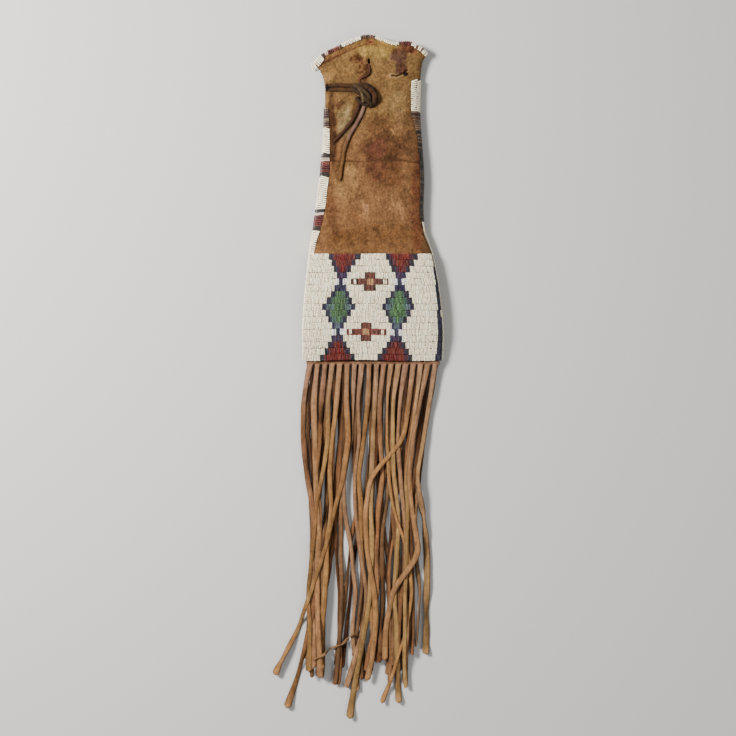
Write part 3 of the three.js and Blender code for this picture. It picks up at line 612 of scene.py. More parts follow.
KNOT_STEP, KNOT_THICK, KNOT_CURL = 0.8, 2.2, 0.75
# Straps of the knot: width, light and dark tone, and places with their lift over the hide
KNOT_STRAPS = [
    (4.4, seen(76, 58, 42), seen(42, 28, 18), [
        (-17, 246, 1.2), (-13, 240.5, 2.4), (-6, 237.2, 3), (2, 238.5, 2),
    ]),
    (7.8, seen(92, 66, 46), seen(38, 25, 16), [
        (-15, 258, 1.4), (-8.5, 259.4, 3.6), (-1.6, 256.6, 4.4), (2.6, 250.6, 4.6), (4.4, 244, 4),
        (2.4, 238.4, 3), (-3, 235.8, 1.6),
    ]),
    (5.4, seen(86, 68, 48), seen(46, 32, 20), [
        (-24, 256.4, 2), (-17.5, 253, 4.4), (-10.5, 247.6, 5.6), (-3.5, 241.6, 5.4), (1.5, 237.4, 3.4),
    ]),
    (4.6, seen(98, 80, 58), seen(50, 36, 22), [
        (-20, 260, 2.2), (-13, 256.6, 5), (-6.6, 251.4, 6.4), (-2, 245.4, 6), (-1, 238.6, 3.4),
    ]),
    (3.2, seen(124, 106, 80), seen(58, 42, 26), [
        (-15.5, 257.4, 3.6), (-12, 252, 6), (-9.6, 246, 6.6), (-9.4, 239.6, 4),
    ]),
]


def add_knot():
    """The knot: straps of thong that wrap over each other, drawn tight."""
    straps = []
    for number, (width, light, dark, route) in enumerate(KNOT_STRAPS):
        turn, places = spaced(route, KNOT_STEP)
        turn[:, 2] += hide_top(turn[:, 0], turn[:, 1])
        verts, faces = ribbon(turn, width, KNOT_THICK, 0.35 * np.sin(places / 4 + number), KNOT_CURL)
        patches = cloud(verts[:, 0] + 3 * verts[:, 2], verts[:, 1], 4, 71 + number)
        # Mottled wear, and painted shade along each strap's edges.
        wear_and_shade = 0.2 + 0.4 * np.tile(RING_EDGE, len(turn)) ** 3 + 0.6 * patches
        straps.append((verts, faces, mix(light, dark, np.clip(wear_and_shade, 0, 1))))
    make_mesh("tie_knot_tangle", *joined(straps), THONG, "thong_hide", ["tie_knot"])


def add_thong():
    """The strips of the thong, flat on the hide along their routes, and the knot."""
    for number, (name, route) in enumerate(THONG_ROUTES.items()):
        band, tail = name.startswith("tie_band"), name in TAIL_TAPERS
        if band:
            route = [(route[0][0] - BAND_TUCK, route[0][1]), *route[1:]]
        flat, places = spaced(route, THONG_STEP)
        if name == "tie_neck_piece":
            flat, places = spaced(eased(eased(flat, NECK_EASE), NECK_EASE), THONG_STEP)
        lift = THONG_LIFT + 0.35 * np.sin(places / 9 + number)
        path = np.column_stack([flat, hide_top(flat[:, 0], flat[:, 1]) + lift])
        flat_width = THONG_WIDTHS.get(name, THONG_WIDTH)
        width = flat_width * (1 + 0.1 * ripple(places, 14, 31 + number))
        if tail:
            width = strip_end(places, width, TAIL_TAPERS[name])
        else:
            path[:, 2] -= SLIT_DEPTH * np.exp(-places / SLIT_DIVE)
        twist = 0.5 * ripple(places, 26, 41 + number)
        curl = 0.55 + 0.35 * ripple(places, 17, 51 + number)
        verts, faces = ribbon(path, width, THONG_THICK, twist, curl)
        light, dark = THONG_TONES[name]
        if name == "tie_tail_long":
            light = mix(light, TAIL_TIP, np.repeat(smooth(0.25, 0.7, places / places[-1]), RING))
        # Mottled wear, painted shade along both edges, and the bands darker where they come out of their
        # slit.
        wear_and_shade = 0.5 * cloud(verts[:, 0], verts[:, 1], 7, 61) + 0.75 * np.tile(RING_EDGE, len(places)) ** 3
        if band:
            wear_and_shade += np.exp(-np.repeat(places, RING) / 5)
        tints = mix(light, dark, np.clip(wear_and_shade, 0, 1))
        piece = make_mesh(name + "_strip", verts, faces, tints, THONG, "thong_hide", [name])
    add_knot()


# Hide: a fold across it, and a cut at the upper right
FOLD_Y, FOLD_MIDDLE = 171.2, 8
CUT = [(24.5, 272), (30, 271.2), (36, 273.4), (43, 278.5)]
BAND_PUCKER = [(x, y + 6.5) for x, y in THONG_ROUTES["tie_band"]]
FREE_LOW, FREE_HIGH = 64, 84  # over these y the hide comes free of the panel's seam
# The last of these is painted shade, for the hide under the beads.
HIDE_UPPER, HIDE_LOWER, UNDER_BEADS_SHADE = lin(156, 123, 79), lin(151, 112, 76), lin(58, 42, 32)
# The hem's brown is painted shade along the hem under the mouth edging.
RIM_BROWN, HEM_SHADE, RUMPLE_BROWN = lin(150, 92, 56), lin(92, 46, 28), lin(132, 86, 56)
FOLD_DARK, THONG_DIRT_AND_SHADOW, CRUMB_DARK = lin(74, 44, 26), lin(70, 44, 24), lin(84, 46, 30)
CUT_SHADE, CUT_LIP, CUT_LIP_TOP = lin(30, 16, 10), lin(196, 164, 116), 274
BACK_LIGHT, BACK_DARK = seen(152, 118, 76), seen(128, 92, 56)
# Places in the photo's pixels: rumpled hide with its radii, and a scuffed line
RUMPLED = [(364, 71, 7.5, 13), (356, 60, 7, 4), (402, 70, 5, 6), (410, 50, 6, 4)]
SCUFF = [(384, 108), (390, 126), (397, 150), (399, 162)]
# The band's hole, the lips and the middle of a small hole by the rim, and a spot: place, radii and colour
# The dark in the band's hole and in the small hole's middle is painted shade.
HOLES = [
    (327, 87.8, 2.4, 4.2, (38, 22, 14)), (370.6, 42.9, 4, 1.9, (176, 116, 80)),
    (370.6, 42.9, 2, 0.8, (92, 52, 34)), (405.6, 74.4, 2.8, 1.8, (40, 20, 14)),
]
STAIN_COVER = 0.94  # most that a stain hides of what is under it
# Stains and one painted shadow: place, radii, turn in degrees, colour, and strength, which over 1 gives a
# sharp edge
STAINS_AND_SHADOW = [
    (380, 50, 26, 11, 0, (192, 162, 92), 0.8), (344, 68, 24, 10, -25, (168, 130, 82), 0.6),
    (397, 57, 9, 7, -20, (126, 94, 76), 1.25), (402, 52, 10, 6, 10, (118, 86, 66), 1.3),
    (401, 66, 7, 11, 8, (120, 88, 72), 1.25), (410, 50, 7, 5, 20, (112, 74, 58), 1),
    (357, 60, 7, 4, 0, (116, 82, 46), 0.6), (341.5, 105, 6.5, 4.5, 0, (98, 66, 40), 0.95),
    # The mark at (354, 112) is painted shadow beside the short tail.
    (332.5, 128, 4.6, 44, -2, (88, 58, 36), 1.1), (354, 112, 3.4, 14, 12, (102, 72, 42), 0.6),
    (345, 122, 7, 19, 10, (184, 160, 116), 0.85), (368, 97, 13, 15, 0, (106, 76, 44), 0.7),
    (380, 128, 14, 16, 0, (108, 72, 46), 0.65), (398, 104, 11, 14, 0, (176, 144, 98), 0.75),
    (384, 150, 26, 17, -8, (108, 72, 48), 0.85), (392, 160, 10, 16, 0, (100, 68, 42), 0.6),
    (376, 170, 11, 14, 0, (112, 70, 52), 0.75), (378, 149, 9, 8, 0, (130, 78, 64), 0.7),
    (408, 132, 7, 26, 0, (116, 82, 56), 0.6), (400, 122, 4, 16, -15, (172, 132, 96), 0.5),
    (416.5, 108, 3.2, 26, 0, (76, 48, 34), 0.75), (418, 200, 8, 62, 0, (130, 74, 54), 0.6),
    (347, 184, 13, 24, 10, (182, 142, 94), 0.85), (390, 178, 14, 14, 0, (112, 70, 44), 0.5),
    (366, 212, 3, 10, 4, (200, 156, 114), 0.6), (361, 208, 5, 9, 0, (188, 144, 100), 0.55),
    (376, 204, 5, 10, 0, (180, 136, 94), 0.5), (395, 206, 6, 11, 4, (188, 144, 100), 0.65),
    (402, 212, 2.6, 10, -5, (192, 148, 106), 0.65), (358, 216, 12, 9, 0, (150, 104, 66), 0.4),
    (375, 236, 52, 12, 0, (128, 90, 52), 0.6), (340, 240, 16, 10, 0, (118, 82, 46), 0.6),
    (332, 215, 5, 26, -6, (112, 74, 46), 0.6), (376, 250, 44, 4.5, 0, (150, 108, 66), 0.5),
]


def to_photo(x, y):
    """Places on the bag as places in the photo, in its pixels."""
    return PHOTO_X + x / PIXEL, PHOTO_Y - y / PIXEL


def from_fold(x, y):
    """How far places lie above the fold, which wavers."""
    return y - (FOLD_Y + 0.9 * np.sin(x / 13) + 0.5 * np.sin(x / 4.7))


def hide_relief(x, y):
    """How far the front hide stands out of its plain form: hollows, the fold, puckers and the cut's lips."""
    x, y = np.asarray(x, float), np.asarray(y, float)
    under_rim, fold, cut = rim_height(x) - y, from_fold(x, y), near_line(x, y, CUT)
    d = 0.75 * cloud(x, y, 62, 11) + 0.3 * cloud(x * 1.3, y * 0.8, 17, 15)
    d -= 0.75 * ridge(fold, 1.1) * np.clip(0.35 + np.abs(x - FOLD_MIDDLE) / 34, 0, 1)
    d += 0.35 * ridge(fold - 3.5, 2.6)
    d += 0.5 * np.sin(x / 1.75 + 2 * cloud(x, y, 30, 21)) * np.exp(-np.clip(under_rim - 5, 0, 60) / 9)
    knot_x, knot_y = x - KNOT_CENTRE[0], y - KNOT_CENTRE[1]
    rays = np.sin(9 * np.arctan2(knot_y, knot_x) + 1.5 * cloud(x, y, 25, 24))
    d += 0.55 * rays * ridge(np.hypot(knot_x, knot_y) - 15, 15)
    d += 0.6 * ridge(near_line(x, y, BAND_PUCKER), 2.6)
    d += 0.8 * ridge(cut - 1.6, 1.0) - 1.5 * ridge(cut, 0.8)
    return d * smooth(FREE_LOW, FREE_HIGH, y)


def stained_and_shadowed(colour, x, y):
    """Colours with the stains and one painted shadow, whose edges wander."""
    px, py = to_photo(x, y)
    wander_x = 3 * cloud(x, y, 13, 83) + 2.6 * cloud(x, y, 4, 183)
    wander_y = 3 * cloud(x, y, 13, 86) + 2.6 * cloud(x, y, 4, 186)
    for cx, cy, rx, ry, turn, tone, strength in STAINS_AND_SHADOW:
        c, s = math.cos(math.radians(turn)), math.sin(math.radians(turn))
        dx, dy = px + wander_x * min(1, rx / 9) - cx, py + wander_y - cy
        r = np.hypot((dx * c + dy * s) / rx, (dy * c - dx * s) / ry)
        patchy = np.clip(0.85 + 0.55 * cloud(x, y, 5, int(cx)), 0.25, 1.15)
        cover = strength * (1 - smooth(0.6, 1.15, r)) * patchy
        colour = mix(colour, lin(*tone), cover.clip(0, STAIN_COVER))
    return colour


def lined(colour, x, y):
    """Colours along lines: the rim, the fold, painted shade at the hem and the cut, and dirt and painted
    shadow by the thong.
    """
    under_rim, cut = rim_height(x) - y, near_line(x, y, CUT)
    colour = mix(colour, RIM_BROWN, 0.55 * ridge(under_rim - 8, 3.5) * (0.6 + 0.4 * cloud(x, y, 12, 88)))
    # The hide is darker along the fold.
    fold = 0.75 * ridge(from_fold(x, y), 0.9)
    colour = mix(colour, FOLD_DARK, fold * np.clip(0.2 + np.abs(x - FOLD_MIDDLE) / 30, 0, 1))
    # Painted shade along the hem under the edging, broader and stronger at the left.
    hem = ridge(under_rim - 11 - 0.8 * cloud(x, y, 14, 89), 2.4 - 1.6 * smooth(-56, -24, x))
    colour = mix(colour, HEM_SHADE, hem * (0.75 - 0.5 * smooth(-14, 14, x)))
    # Dirt and painted shadow darken the hide along the thong's tails and bands.
    for name in ("tie_tail_long", "tie_tail_short", "tie_band", "tie_band_lower"):
        colour = mix(colour, THONG_DIRT_AND_SHADOW, 0.6 * ridge(near_line(x, y, THONG_ROUTES[name]), 4.2))
    # Painted shade in the cut's opening.
    colour = mix(colour, CUT_SHADE, ridge(cut, 0.9))
    return mix(colour, CUT_LIP, 0.7 * ridge(cut - 2.0, 0.8) * (y < CUT_LIP_TOP))


def hide_colour(x, y):
    """Smoked, handled hide: golden at the mouth, red brown in the middle, with stains and rubs."""
    px, py = to_photo(x, y)
    colour = mix(HIDE_UPPER, HIDE_LOWER, smooth(95, 165, py + 8 * cloud(x, y, 30, 81)))
    colour = lined(stained_and_shadowed(colour, x, y), x, y)
    crumbs = np.clip(2 * (cloud(x, y, 2.6, 113) + 0.25), 0, 0.85)
    for cx, cy, rx, ry in RUMPLED:
        near = 1 - smooth(0.6, 1.2, np.hypot((px - cx) / rx, (py - cy) / ry))
        colour = mix(mix(colour, RUMPLE_BROWN, 0.3 * near), CRUMB_DARK, near * crumbs)
    for cx, cy, rx, ry, tone in HOLES:
        colour = mix(colour, lin(*tone), 1 - smooth(0.7, 1.2, np.hypot((px - cx) / rx, (py - cy) / ry)))
    streak = cloud(x * 3.2, y * 0.5, 9, 91) * 0.08 + cloud(x, y, 8, 94) * 0.3 + cloud(x, y, 2.2, 97) * 0.32
    scuffed = 0.4 + 1.6 * ridge(near_line(px, py, SCUFF), 6)
    speck = np.clip(cloud(x, y, 2.6, 99) - 0.35, 0, 1) * smooth(100, 125, py) * scuffed
    colour = SEEN_GAIN * (colour * (1 + streak + speck)[..., None]).clip(0) ** SEEN_CONTRAST
    # Under the beads the hide is painted dark, as shade: it is seen only as dark specks between them.
    middle, half = measure(y)[:2]
    bead_shade = 1 - smooth(PANEL_TOP - 1.5, PANEL_TOP, y)
    for direction, top, widths, _ in STRIPS.values():
        inward = half + BEAD_STACK - strip_width(y, widths) - direction * (x - middle)
        bead_shade = np.maximum(bead_shade, (inward < -0.4) & (y < top - 0.5))
    return mix(colour, UNDER_BEADS_SHADE, bead_shade)


def back_colour(x, y):
    colour = mix(BACK_LIGHT, BACK_DARK, 0.5 + 0.5 * cloud(x, y, 45, 101))
    return colour * (1 + 0.12 * cloud(x, y, 5, 104))[..., None]


def thick_sheet(outer, inner, keep, colours):
    """Points, quads and tints of a closed shell between two grids. keep marks the cells that are there."""
    rows, cols = outer.shape[:2]
    i, j = np.nonzero(keep)
    corners = [i * cols + j, i * cols + j + 1, (i + 1) * cols + j + 1, (i + 1) * cols + j]
    under = rows * cols
    faces = [np.stack(corners, 1), np.stack(corners[::-1], 1) + under]
    padded = np.pad(keep, 1)
    for edge, (di, dj) in enumerate([(-1, 0), (0, 1), (1, 0), (0, -1)]):
        bare = ~padded[i + 1 + di, j + 1 + dj]
        a, b = corners[edge][bare], corners[(edge + 1) % 4][bare]
        faces.append(np.stack([b, a, a + under, b + under], 1))
    verts = np.concatenate([outer.reshape(-1, 3), inner.reshape(-1, 3)])
    tints = np.concatenate([colours.reshape(-1, 3), colours.reshape(-1, 3) * INNER_SHADE])
    used, faces = np.unique(np.concatenate(faces), return_inverse=True)
    return verts[used], faces.reshape(-1, 4), tints[used]


# Grids of the front and the back hide: rows lie straight up to a height, and fan out to the rim above it
HIDE_ROWS, HIDE_COLS = {True: 310, False: 190}, {True: 148, False: 100}
STRAIGHT_TOP, STRAIGHT_SHARE = 236, 0.75
RIM_GUESS, RIM_ROUNDS = 290.0, 30
SLIT_RADII, INNER_SHADE = (1.4, 4.8), 0.8
# The bottom rows turn in to the fringe headers, which they hold between them.
HEM_APART, HEM_WALL, HEM_DROP = 2.1, 0.6, 0.2
AREA_TOP, AREA_STEP = 300, 10


def hide_grid(front):
    """Points and outward directions of one hide, from the bottom seam to the mouth edge."""
    rows, cols = HIDE_ROWS[front], HIDE_COLS[front]
    places = np.linspace(0, 1, cols)
    straight = np.linspace(PANEL_BOTTOM, STRAIGHT_TOP, int(rows * STRAIGHT_SHARE))
    spots = [(y, along(section(y, front), places)) for y in straight]

    def fanned(ys):
        points = [along(section(y, front), [place]) for y, place in zip(ys, places)]
        return [np.concatenate(part) for part in zip(*points)]

    top = np.full(cols, RIM_GUESS)
    for _ in range(RIM_ROUNDS):
        top = 0.5 * top + 0.5 * rim_height(fanned(top)[0][:, 0])
    for share in np.linspace(0, 1, rows - len(straight) + 1)[1:]:
        ys = STRAIGHT_TOP + (top - STRAIGHT_TOP) * share
        spots.append((ys, fanned(ys)))
    outer = np.array([raised(point, y) for y, (point, _) in spots])
    return outer, np.array([raised(normal, 0) for _, (_, normal) in spots])


def add_hides():
    """The front and the back hide, each a thick sheet with its relief and its bottom hem."""
    for name, node, front in (("front_leather", "front_hide", True), ("back_leather", "back_hide", False)):
        outer, out = hide_grid(front)
        x, y, z = np.moveaxis(outer, -1, 0)
        cols = HIDE_COLS[front]
        near_seam = np.minimum(np.arange(cols), np.arange(cols)[::-1])
        if front:
            relief, colours = hide_relief(x, y), hide_colour(x, y)
        else:
            relief = 0.35 * cloud(x, y, 45, 111) * smooth(FREE_LOW, FREE_HIGH, y) * smooth(4, 9, z)
            colours = back_colour(x, y)
        pulled = 0.35 * (1 - smooth(0, 2.5, near_seam)) * smooth(FREE_LOW, 70, y)
        outer = outer + out * (relief * smooth(0, 7, near_seam) - pulled)[..., None]
        inner = outer - out * HIDE_WALL
        keep = np.ones((outer.shape[0] - 1, cols - 1), bool)
        if front:
            cx, cy = (x[:-1, :-1] + x[1:, 1:]) / 2, (y[:-1, :-1] + y[1:, 1:]) / 2
            for slit_x, slit_y in (LEFT_SLIT, UPPER_SLIT):
                keep &= np.hypot((cx - slit_x) / SLIT_RADII[0], (cy - slit_y) / SLIT_RADII[1]) > 1
        away = 1 if front else -1
        outer[0, :, 2] = SEAM_MIDDLE + away * HEM_APART
        outer[0, :, 1] -= HEM_DROP
        inner[0, :, 2] = outer[0, :, 2] - away * HEM_WALL
        inner[0, :, 1] = outer[0, :, 1] + HIDE_WALL
        piece = make_mesh(name, *thick_sheet(outer, inner, keep, colours), HIDE, "hide", [node])
        middles = np.arange(PANEL_BOTTOM, AREA_TOP, AREA_STEP) + AREA_STEP / 2
        area = sum(line_length(section(y, front)) for y in middles) * AREA_STEP


# Beads: the roughness of each colour, and the beads made so far, by group
BEAD_ROUGH = {
    "white": 0.3, "pale": 0.36, "red": 0.32, "brown": 0.38, "tan": 0.4, "blue": 0.32, "green": 0.34,
    "dark": 0.36,
}
BEADS = {colour: bead_material(colour + "_beads", rough) for colour, rough in BEAD_ROUGH.items()}
bins = {}
# How much beads differ in size and in warmth, and what warmth does to red, green and blue
SIZE_SPREAD, WARM_SPREAD, WARMTH = 0.06, 0.035, np.array([1, 0, -1.3])
# Degrees round a bead that its shell covers: where it is sewn down flat it is open to the hide.
OPEN_ARC, WHOLE_ARC = (-24, 204), (-90, 270)
BEAD_GIRTHS = np.array([0.5, 1.0, 0.5])  # of a bead's three rings
# Each bead has one cell of the map, and its faces use the middle of it.
CELL_CORNERS = np.array([(0.15, 0.15), (0.85, 0.15), (0.85, 0.85), (0.15, 0.85)])


def drop_beads(path, side, radius, groups, colours, sides, arc=OPEN_ARC):
    """Adds strings of beads. path holds ring centres [string, 2 beads + 1], and side points sideways."""
    strings, rings = path.shape[:2]
    beads = rings // 2
    ahead = unit(np.gradient(path, axis=1))
    up = unit(np.cross(ahead, np.broadcast_to(side, path.shape)))
    side = np.cross(up, ahead)
    angle = np.radians(np.linspace(*arc, sides + 1))
    spoke = side[:, :, None] * np.cos(angle)[:, None] + up[:, :, None] * np.sin(angle)[:, None]
    size = radius * (1 + SIZE_SPREAD * rng.standard_normal((strings, beads)))
    pick = 2 * np.arange(beads)[:, None] + np.arange(3)
    girth = size[:, :, None] * BEAD_GIRTHS
    verts = path[:, pick][:, :, :, None] + spoke[:, pick] * girth[..., None, None]
    for name in np.unique(groups):
        chosen = groups == name
        bins.setdefault(str(name), []).append((verts[chosen], colours[chosen]))


def make_beads(name, colour, group, nodes):
    """One piece from all the beads of a group."""
    verts, tint = (np.concatenate(part) for part in zip(*bins[group]))
    count, rings, spokes = verts.shape[:3]
    quad = grid_faces(rings, spokes)[:, TURNED]
    faces = (np.arange(count)[:, None, None] * rings * spokes + quad).reshape(-1, 4)
    cells = int(math.ceil(math.sqrt(count)))
    cell = np.stack([np.arange(count) % cells, np.arange(count) // cells], 1)
    uvs = np.broadcast_to((cell[:, None, None] + CELL_CORNERS) / cells, (count, len(quad), 4, 2))
    tints = np.repeat(tint, rings * spokes, axis=0)
    make_mesh(name, verts.reshape(-1, 3), faces, tints, BEADS[colour], colour + "_beads", nodes, uvs)


def shades(base, strings, beads, string_spread, bead_spread):
    """Tints round a colour: each string and each bead differs a little."""
    base = np.broadcast_to(base, (strings, beads, 3))
    spread = 1 + string_spread * rng.standard_normal((strings, 1, 1))
    spread = spread + bead_spread * rng.standard_normal((strings, beads, 1))
    warm = WARM_SPREAD * rng.standard_normal((strings, beads, 1)) * WARMTH
    return base * np.clip(spread + warm, 0.4, 1.6)


def ring_shares(beads):
    """Shares of the way along a string for the rings of its beads."""
    return np.linspace(0.02, 0.98, 2 * beads + 1)


def arch(share, foot, rise):
    """Height of a sewn string over the hide, at shares of the way along it."""
    return foot + rise * (4 * share * (1 - share)) ** 0.7


# Bead panels
WHITE, COOL = lin(255, 239, 207), lin(236, 231, 232)
NAVY, PURPLE, INK = lin(40, 37, 64), lin(60, 36, 64), lin(34, 33, 42)
RED, PLUM, RUST = lin(99, 23, 17), lin(71, 25, 38), lin(117, 55, 32)
GREEN, BRIGHT, TEAL, SLATE = lin(66, 96, 60), lin(76, 112, 68), lin(74, 98, 90), lin(78, 88, 102)
BROWN, UMBER, TAN, ROSE = lin(98, 54, 44), lin(60, 36, 31), lin(172, 130, 86), lin(146, 62, 52)
LANE_BEADS, BEAD_RADIUS = 7, 0.77
STRING_PITCH, BEAD_SIDES = {True: 1.58, False: 1.66}, {True: 5, False: 3}
PANEL_ARCH = (0.82, 0.5)  # foot and rise of its strings
# Spread of the tones from string to string and from bead to bead, and how light a pale colour is at least
PALE_SPREADS, DEEP_SPREADS, PALE_FROM = (0.08, 0.13), (0.2, 0.16), 0.4
SPECK_ODDS, SPECK_SHADE, RUST_ODDS, RUST_SHARE = 0.07, 0.62, 0.22, 0.65
BACK_WHITE, LANE_NAVY, DIAMOND_NAVY = WHITE * 0.97, NAVY * 0.8, NAVY * 0.5 + INK * 0.5
# Steps by which the figures widen in each lane, from the top
STEPS = [abs(4 - (lane - 1) % 8) for lane in range(1, LANES + 1)]
GREEN_EDGE, BRIGHT_DEPTH, SLATE_DEPTH = 4.6, 9.5, 3.4
RED_EDGE, INK_DEPTH, PLUM_DEPTH = 4.7, 3.3, 8.2
TEAL_DEPTH, SLATE_LANE = {7: 2.6, 8: 3.6, 9: 8.4, 10: 1.2, 11: 4.4}, 9  # in the green lanes
WAIST_CORES = {4: (2.4, PURPLE), 12: (3.6, SLATE), 14: (2.4, PURPLE)}  # in narrow lanes: depth and tone
COOL_REACH = 4.4  # of the bluish white beside the figures' waists
CROSS_RIM, CROSS_CENTRE, SQUARE_HALF, CROSS_BAR_X, BAR_HALF = 1.6, 3.7, 1.75, 14.6, 0.9
# From this lane down, white strings edge the blue lane at the right.
FIRST_EDGED_LANE, WHITE_EDGE = 10, 2.6
SIDES, ENDS = ("left", "right"), ("upper", "lower")
CROSSES = [f"{end}_cross" for end in ENDS]
# Pieces of the panels: their colour, their group of beads and the nodes that they stand for
PANEL_PIECES = {
    "front_white_left": ("white", "front_ground_left", ["front_ground_left"]),
    "front_white_middle": ("white", "front_ground_middle", ["front_ground_middle"]),
    "front_white_right": ("white", "front_ground_right", ["front_ground_right"]),
    "motif_outlines": ("blue", "outlines", [f"{side}_motif_outline" for side in SIDES]),
    "motif_triangles": ("red", "triangles", [f"{side}_{end}_triangle" for side in SIDES for end in ENDS]),
    "motif_diamonds": ("green", "diamonds", [f"{side}_diamond" for side in SIDES]),
    "crosses": ("brown", "crosses", CROSSES),
    "cross_centres": ("tan", "centres", [f"{cross}_centre" for cross in CROSSES]),
    "cross_white_squares": ("white", "squares", [f"{c}_{side}_square" for c in CROSSES for side in SIDES]),
    "right_side_beads": ("blue", "right_side_lane", ["right_side_lane"]),
    "left_side_beads": ("blue", "left_side_lane", ["left_side_lane"]),
    "back_panel_beads": ("white", "back_panel", ["back_panel"]),
}


def column_middle(column, lane):
    share = (lane - 1) / (LANES - 1)
    return column[0] + COLUMN_LEAN * share + 4 * column[1] * share * (1 - share)


def motif_scale(lane):
    return 1 + MOTIF_SPREAD * (lane - 1) / (LANES - 1)


def ground(count, group, tone):
    """Group and colour of each bead of some plain strings."""
    groups = np.full((count, LANE_BEADS), group, dtype=object)
    return groups, np.broadcast_to(tone, (count, LANE_BEADS, 3)).copy()


def paint(field, where, tone, group=None):
    """Colours beads, and moves them to another group where one is named."""
    groups, colour = field
    colour[where] = tone
    if group:
        groups[where] = group


def paint_motif(field, lane, off, side):
    """One lane of a stepped figure: a blue outline round red, or round the green diamond."""
    steps = STEPS[lane - 1]
    depth = (CONNECTOR_HALF + MOTIF_STEP * steps) * motif_scale(lane) - np.abs(off)
    inside = depth > 0
    if steps == 0:
        paint(field, ~inside & (depth > -COOL_REACH), COOL)
    paint(field, inside, NAVY, "outlines")
    if lane in TEAL_DEPTH:
        core = depth > GREEN_EDGE
        paint(field, inside, DIAMOND_NAVY)
        paint(field, core, GREEN, "diamonds")
        if side == "right":
            paint(field, core & (depth > BRIGHT_DEPTH), BRIGHT)
        paint(field, core & (depth < GREEN_EDGE + TEAL_DEPTH[lane]), TEAL)
        if lane == SLATE_LANE:
            paint(field, core & (depth < GREEN_EDGE + SLATE_DEPTH), SLATE)
    elif steps >= 2:
        core = depth > RED_EDGE
        paint(field, inside & (depth < INK_DEPTH), INK)
        paint(field, core, RED, "triangles")
        paint(field, core & (depth < PLUM_DEPTH), PLUM)
    elif lane in WAIST_CORES:
        least, tone = WAIST_CORES[lane]
        paint(field, depth > least, tone)


def paint_cross(field, x, lane, centre_lane):
    """One lane of a cross: its post, or its arm with the tan centre and the white squares."""
    off = np.abs(x - column_middle(CROSS_COLUMN, centre_lane)) / motif_scale(centre_lane)
    reach = CROSS_ARM if lane == centre_lane else CROSS_POST
    inside = off < reach
    paint(field, inside, BROWN, "crosses")
    paint(field, inside & (off > reach - CROSS_RIM), UMBER)
    if lane != centre_lane:
        return
    centre, square = off < CROSS_CENTRE, np.abs(off - CROSS_SQUARE_X) < SQUARE_HALF
    paint(field, centre, TAN, "centres")
    paint(field, square, UMBER)
    paint(field, (square, slice(1, LANE_BEADS - 1)), WHITE, "squares")
    paint(field, inside & (np.abs(off - CROSS_BAR_X) < BAR_HALF), UMBER)
    if centre_lane == CROSS_LANES[1]:
        paint(field, np.ix_(inside & ~centre, [0, LANE_BEADS - 1]), ROSE)


def front_field(lane, x, inner_edge, outer_edge):
    """Group and colour of each bead of the front strings at x in one lane, counted from 1 at the top."""
    field = ground(len(x), "front_ground_middle", WHITE)
    field[0][x < column_middle(LEFT_COLUMN, lane)] = "front_ground_left"
    field[0][x > column_middle(RIGHT_COLUMN, lane)] = "front_ground_right"
    for side, column in zip(SIDES, (LEFT_COLUMN, RIGHT_COLUMN)):
        paint_motif(field, lane, x - column_middle(column, lane), side)
    for centre_lane in CROSS_LANES:
        if abs(lane - centre_lane) <= 1:
            paint_cross(field, x, lane, centre_lane)
    paint(field, x > inner_edge, LANE_NAVY, "right_side_lane")
    if lane >= FIRST_EDGED_LANE:
        paint(field, x > outer_edge - WHITE_EDGE, WHITE, "front_ground_right")
    return field


def panel_line(y, front):
    """Line of the panel's front or back beads at y, which runs on round the sides to where the two meet."""
    line, other = section(y, front), section(y, not front)
    _, _, foot, top, _, _ = measure(y)
    split = foot + SPLIT_SHARE * (top - foot)
    middle = len(other) // 2
    first, line, last = (
        part[(part[:, 1] > split) == front] for part in (other[middle:], line, other[:middle])
    )
    return np.concatenate([first[:-1], line, last[1:]])


def lane_paths(lane, front, places):
    """Ring centres and sideways directions of the strings of one lane at shares of the way round."""
    strings, shares = len(places), ring_shares(LANE_BEADS)
    path, side = np.empty((2, strings, len(shares), 3))
    for ring, share in enumerate(shares):
        y = PANEL_TOP - (lane - share) * LANE
        point, normal = along(panel_line(y, front), places)
        path[:, ring] = raised(point + normal * arch(share, *PANEL_ARCH), y)
        side[:, ring] = raised(normal[:, ::-1] * (-1, 1), 0)
    x = path[:, 0, 0]
    wave = 0.35 * ripple(x, 14, 200 + lane) + 0.16 * rng.standard_normal(strings)
    wave = wave + 0.7 * np.sin(x / 19 + 2.2) * (lane / LANES) ** 2
    path[:, :, 1] += wave[:, None]
    path += side * (0.1 * rng.standard_normal((strings, 1, 1)))
    lean = 0.022 * rng.standard_normal(strings)[:, None] * np.linspace(-0.5, 0.5, len(shares)) * LANE
    return path + side * lean[..., None], side


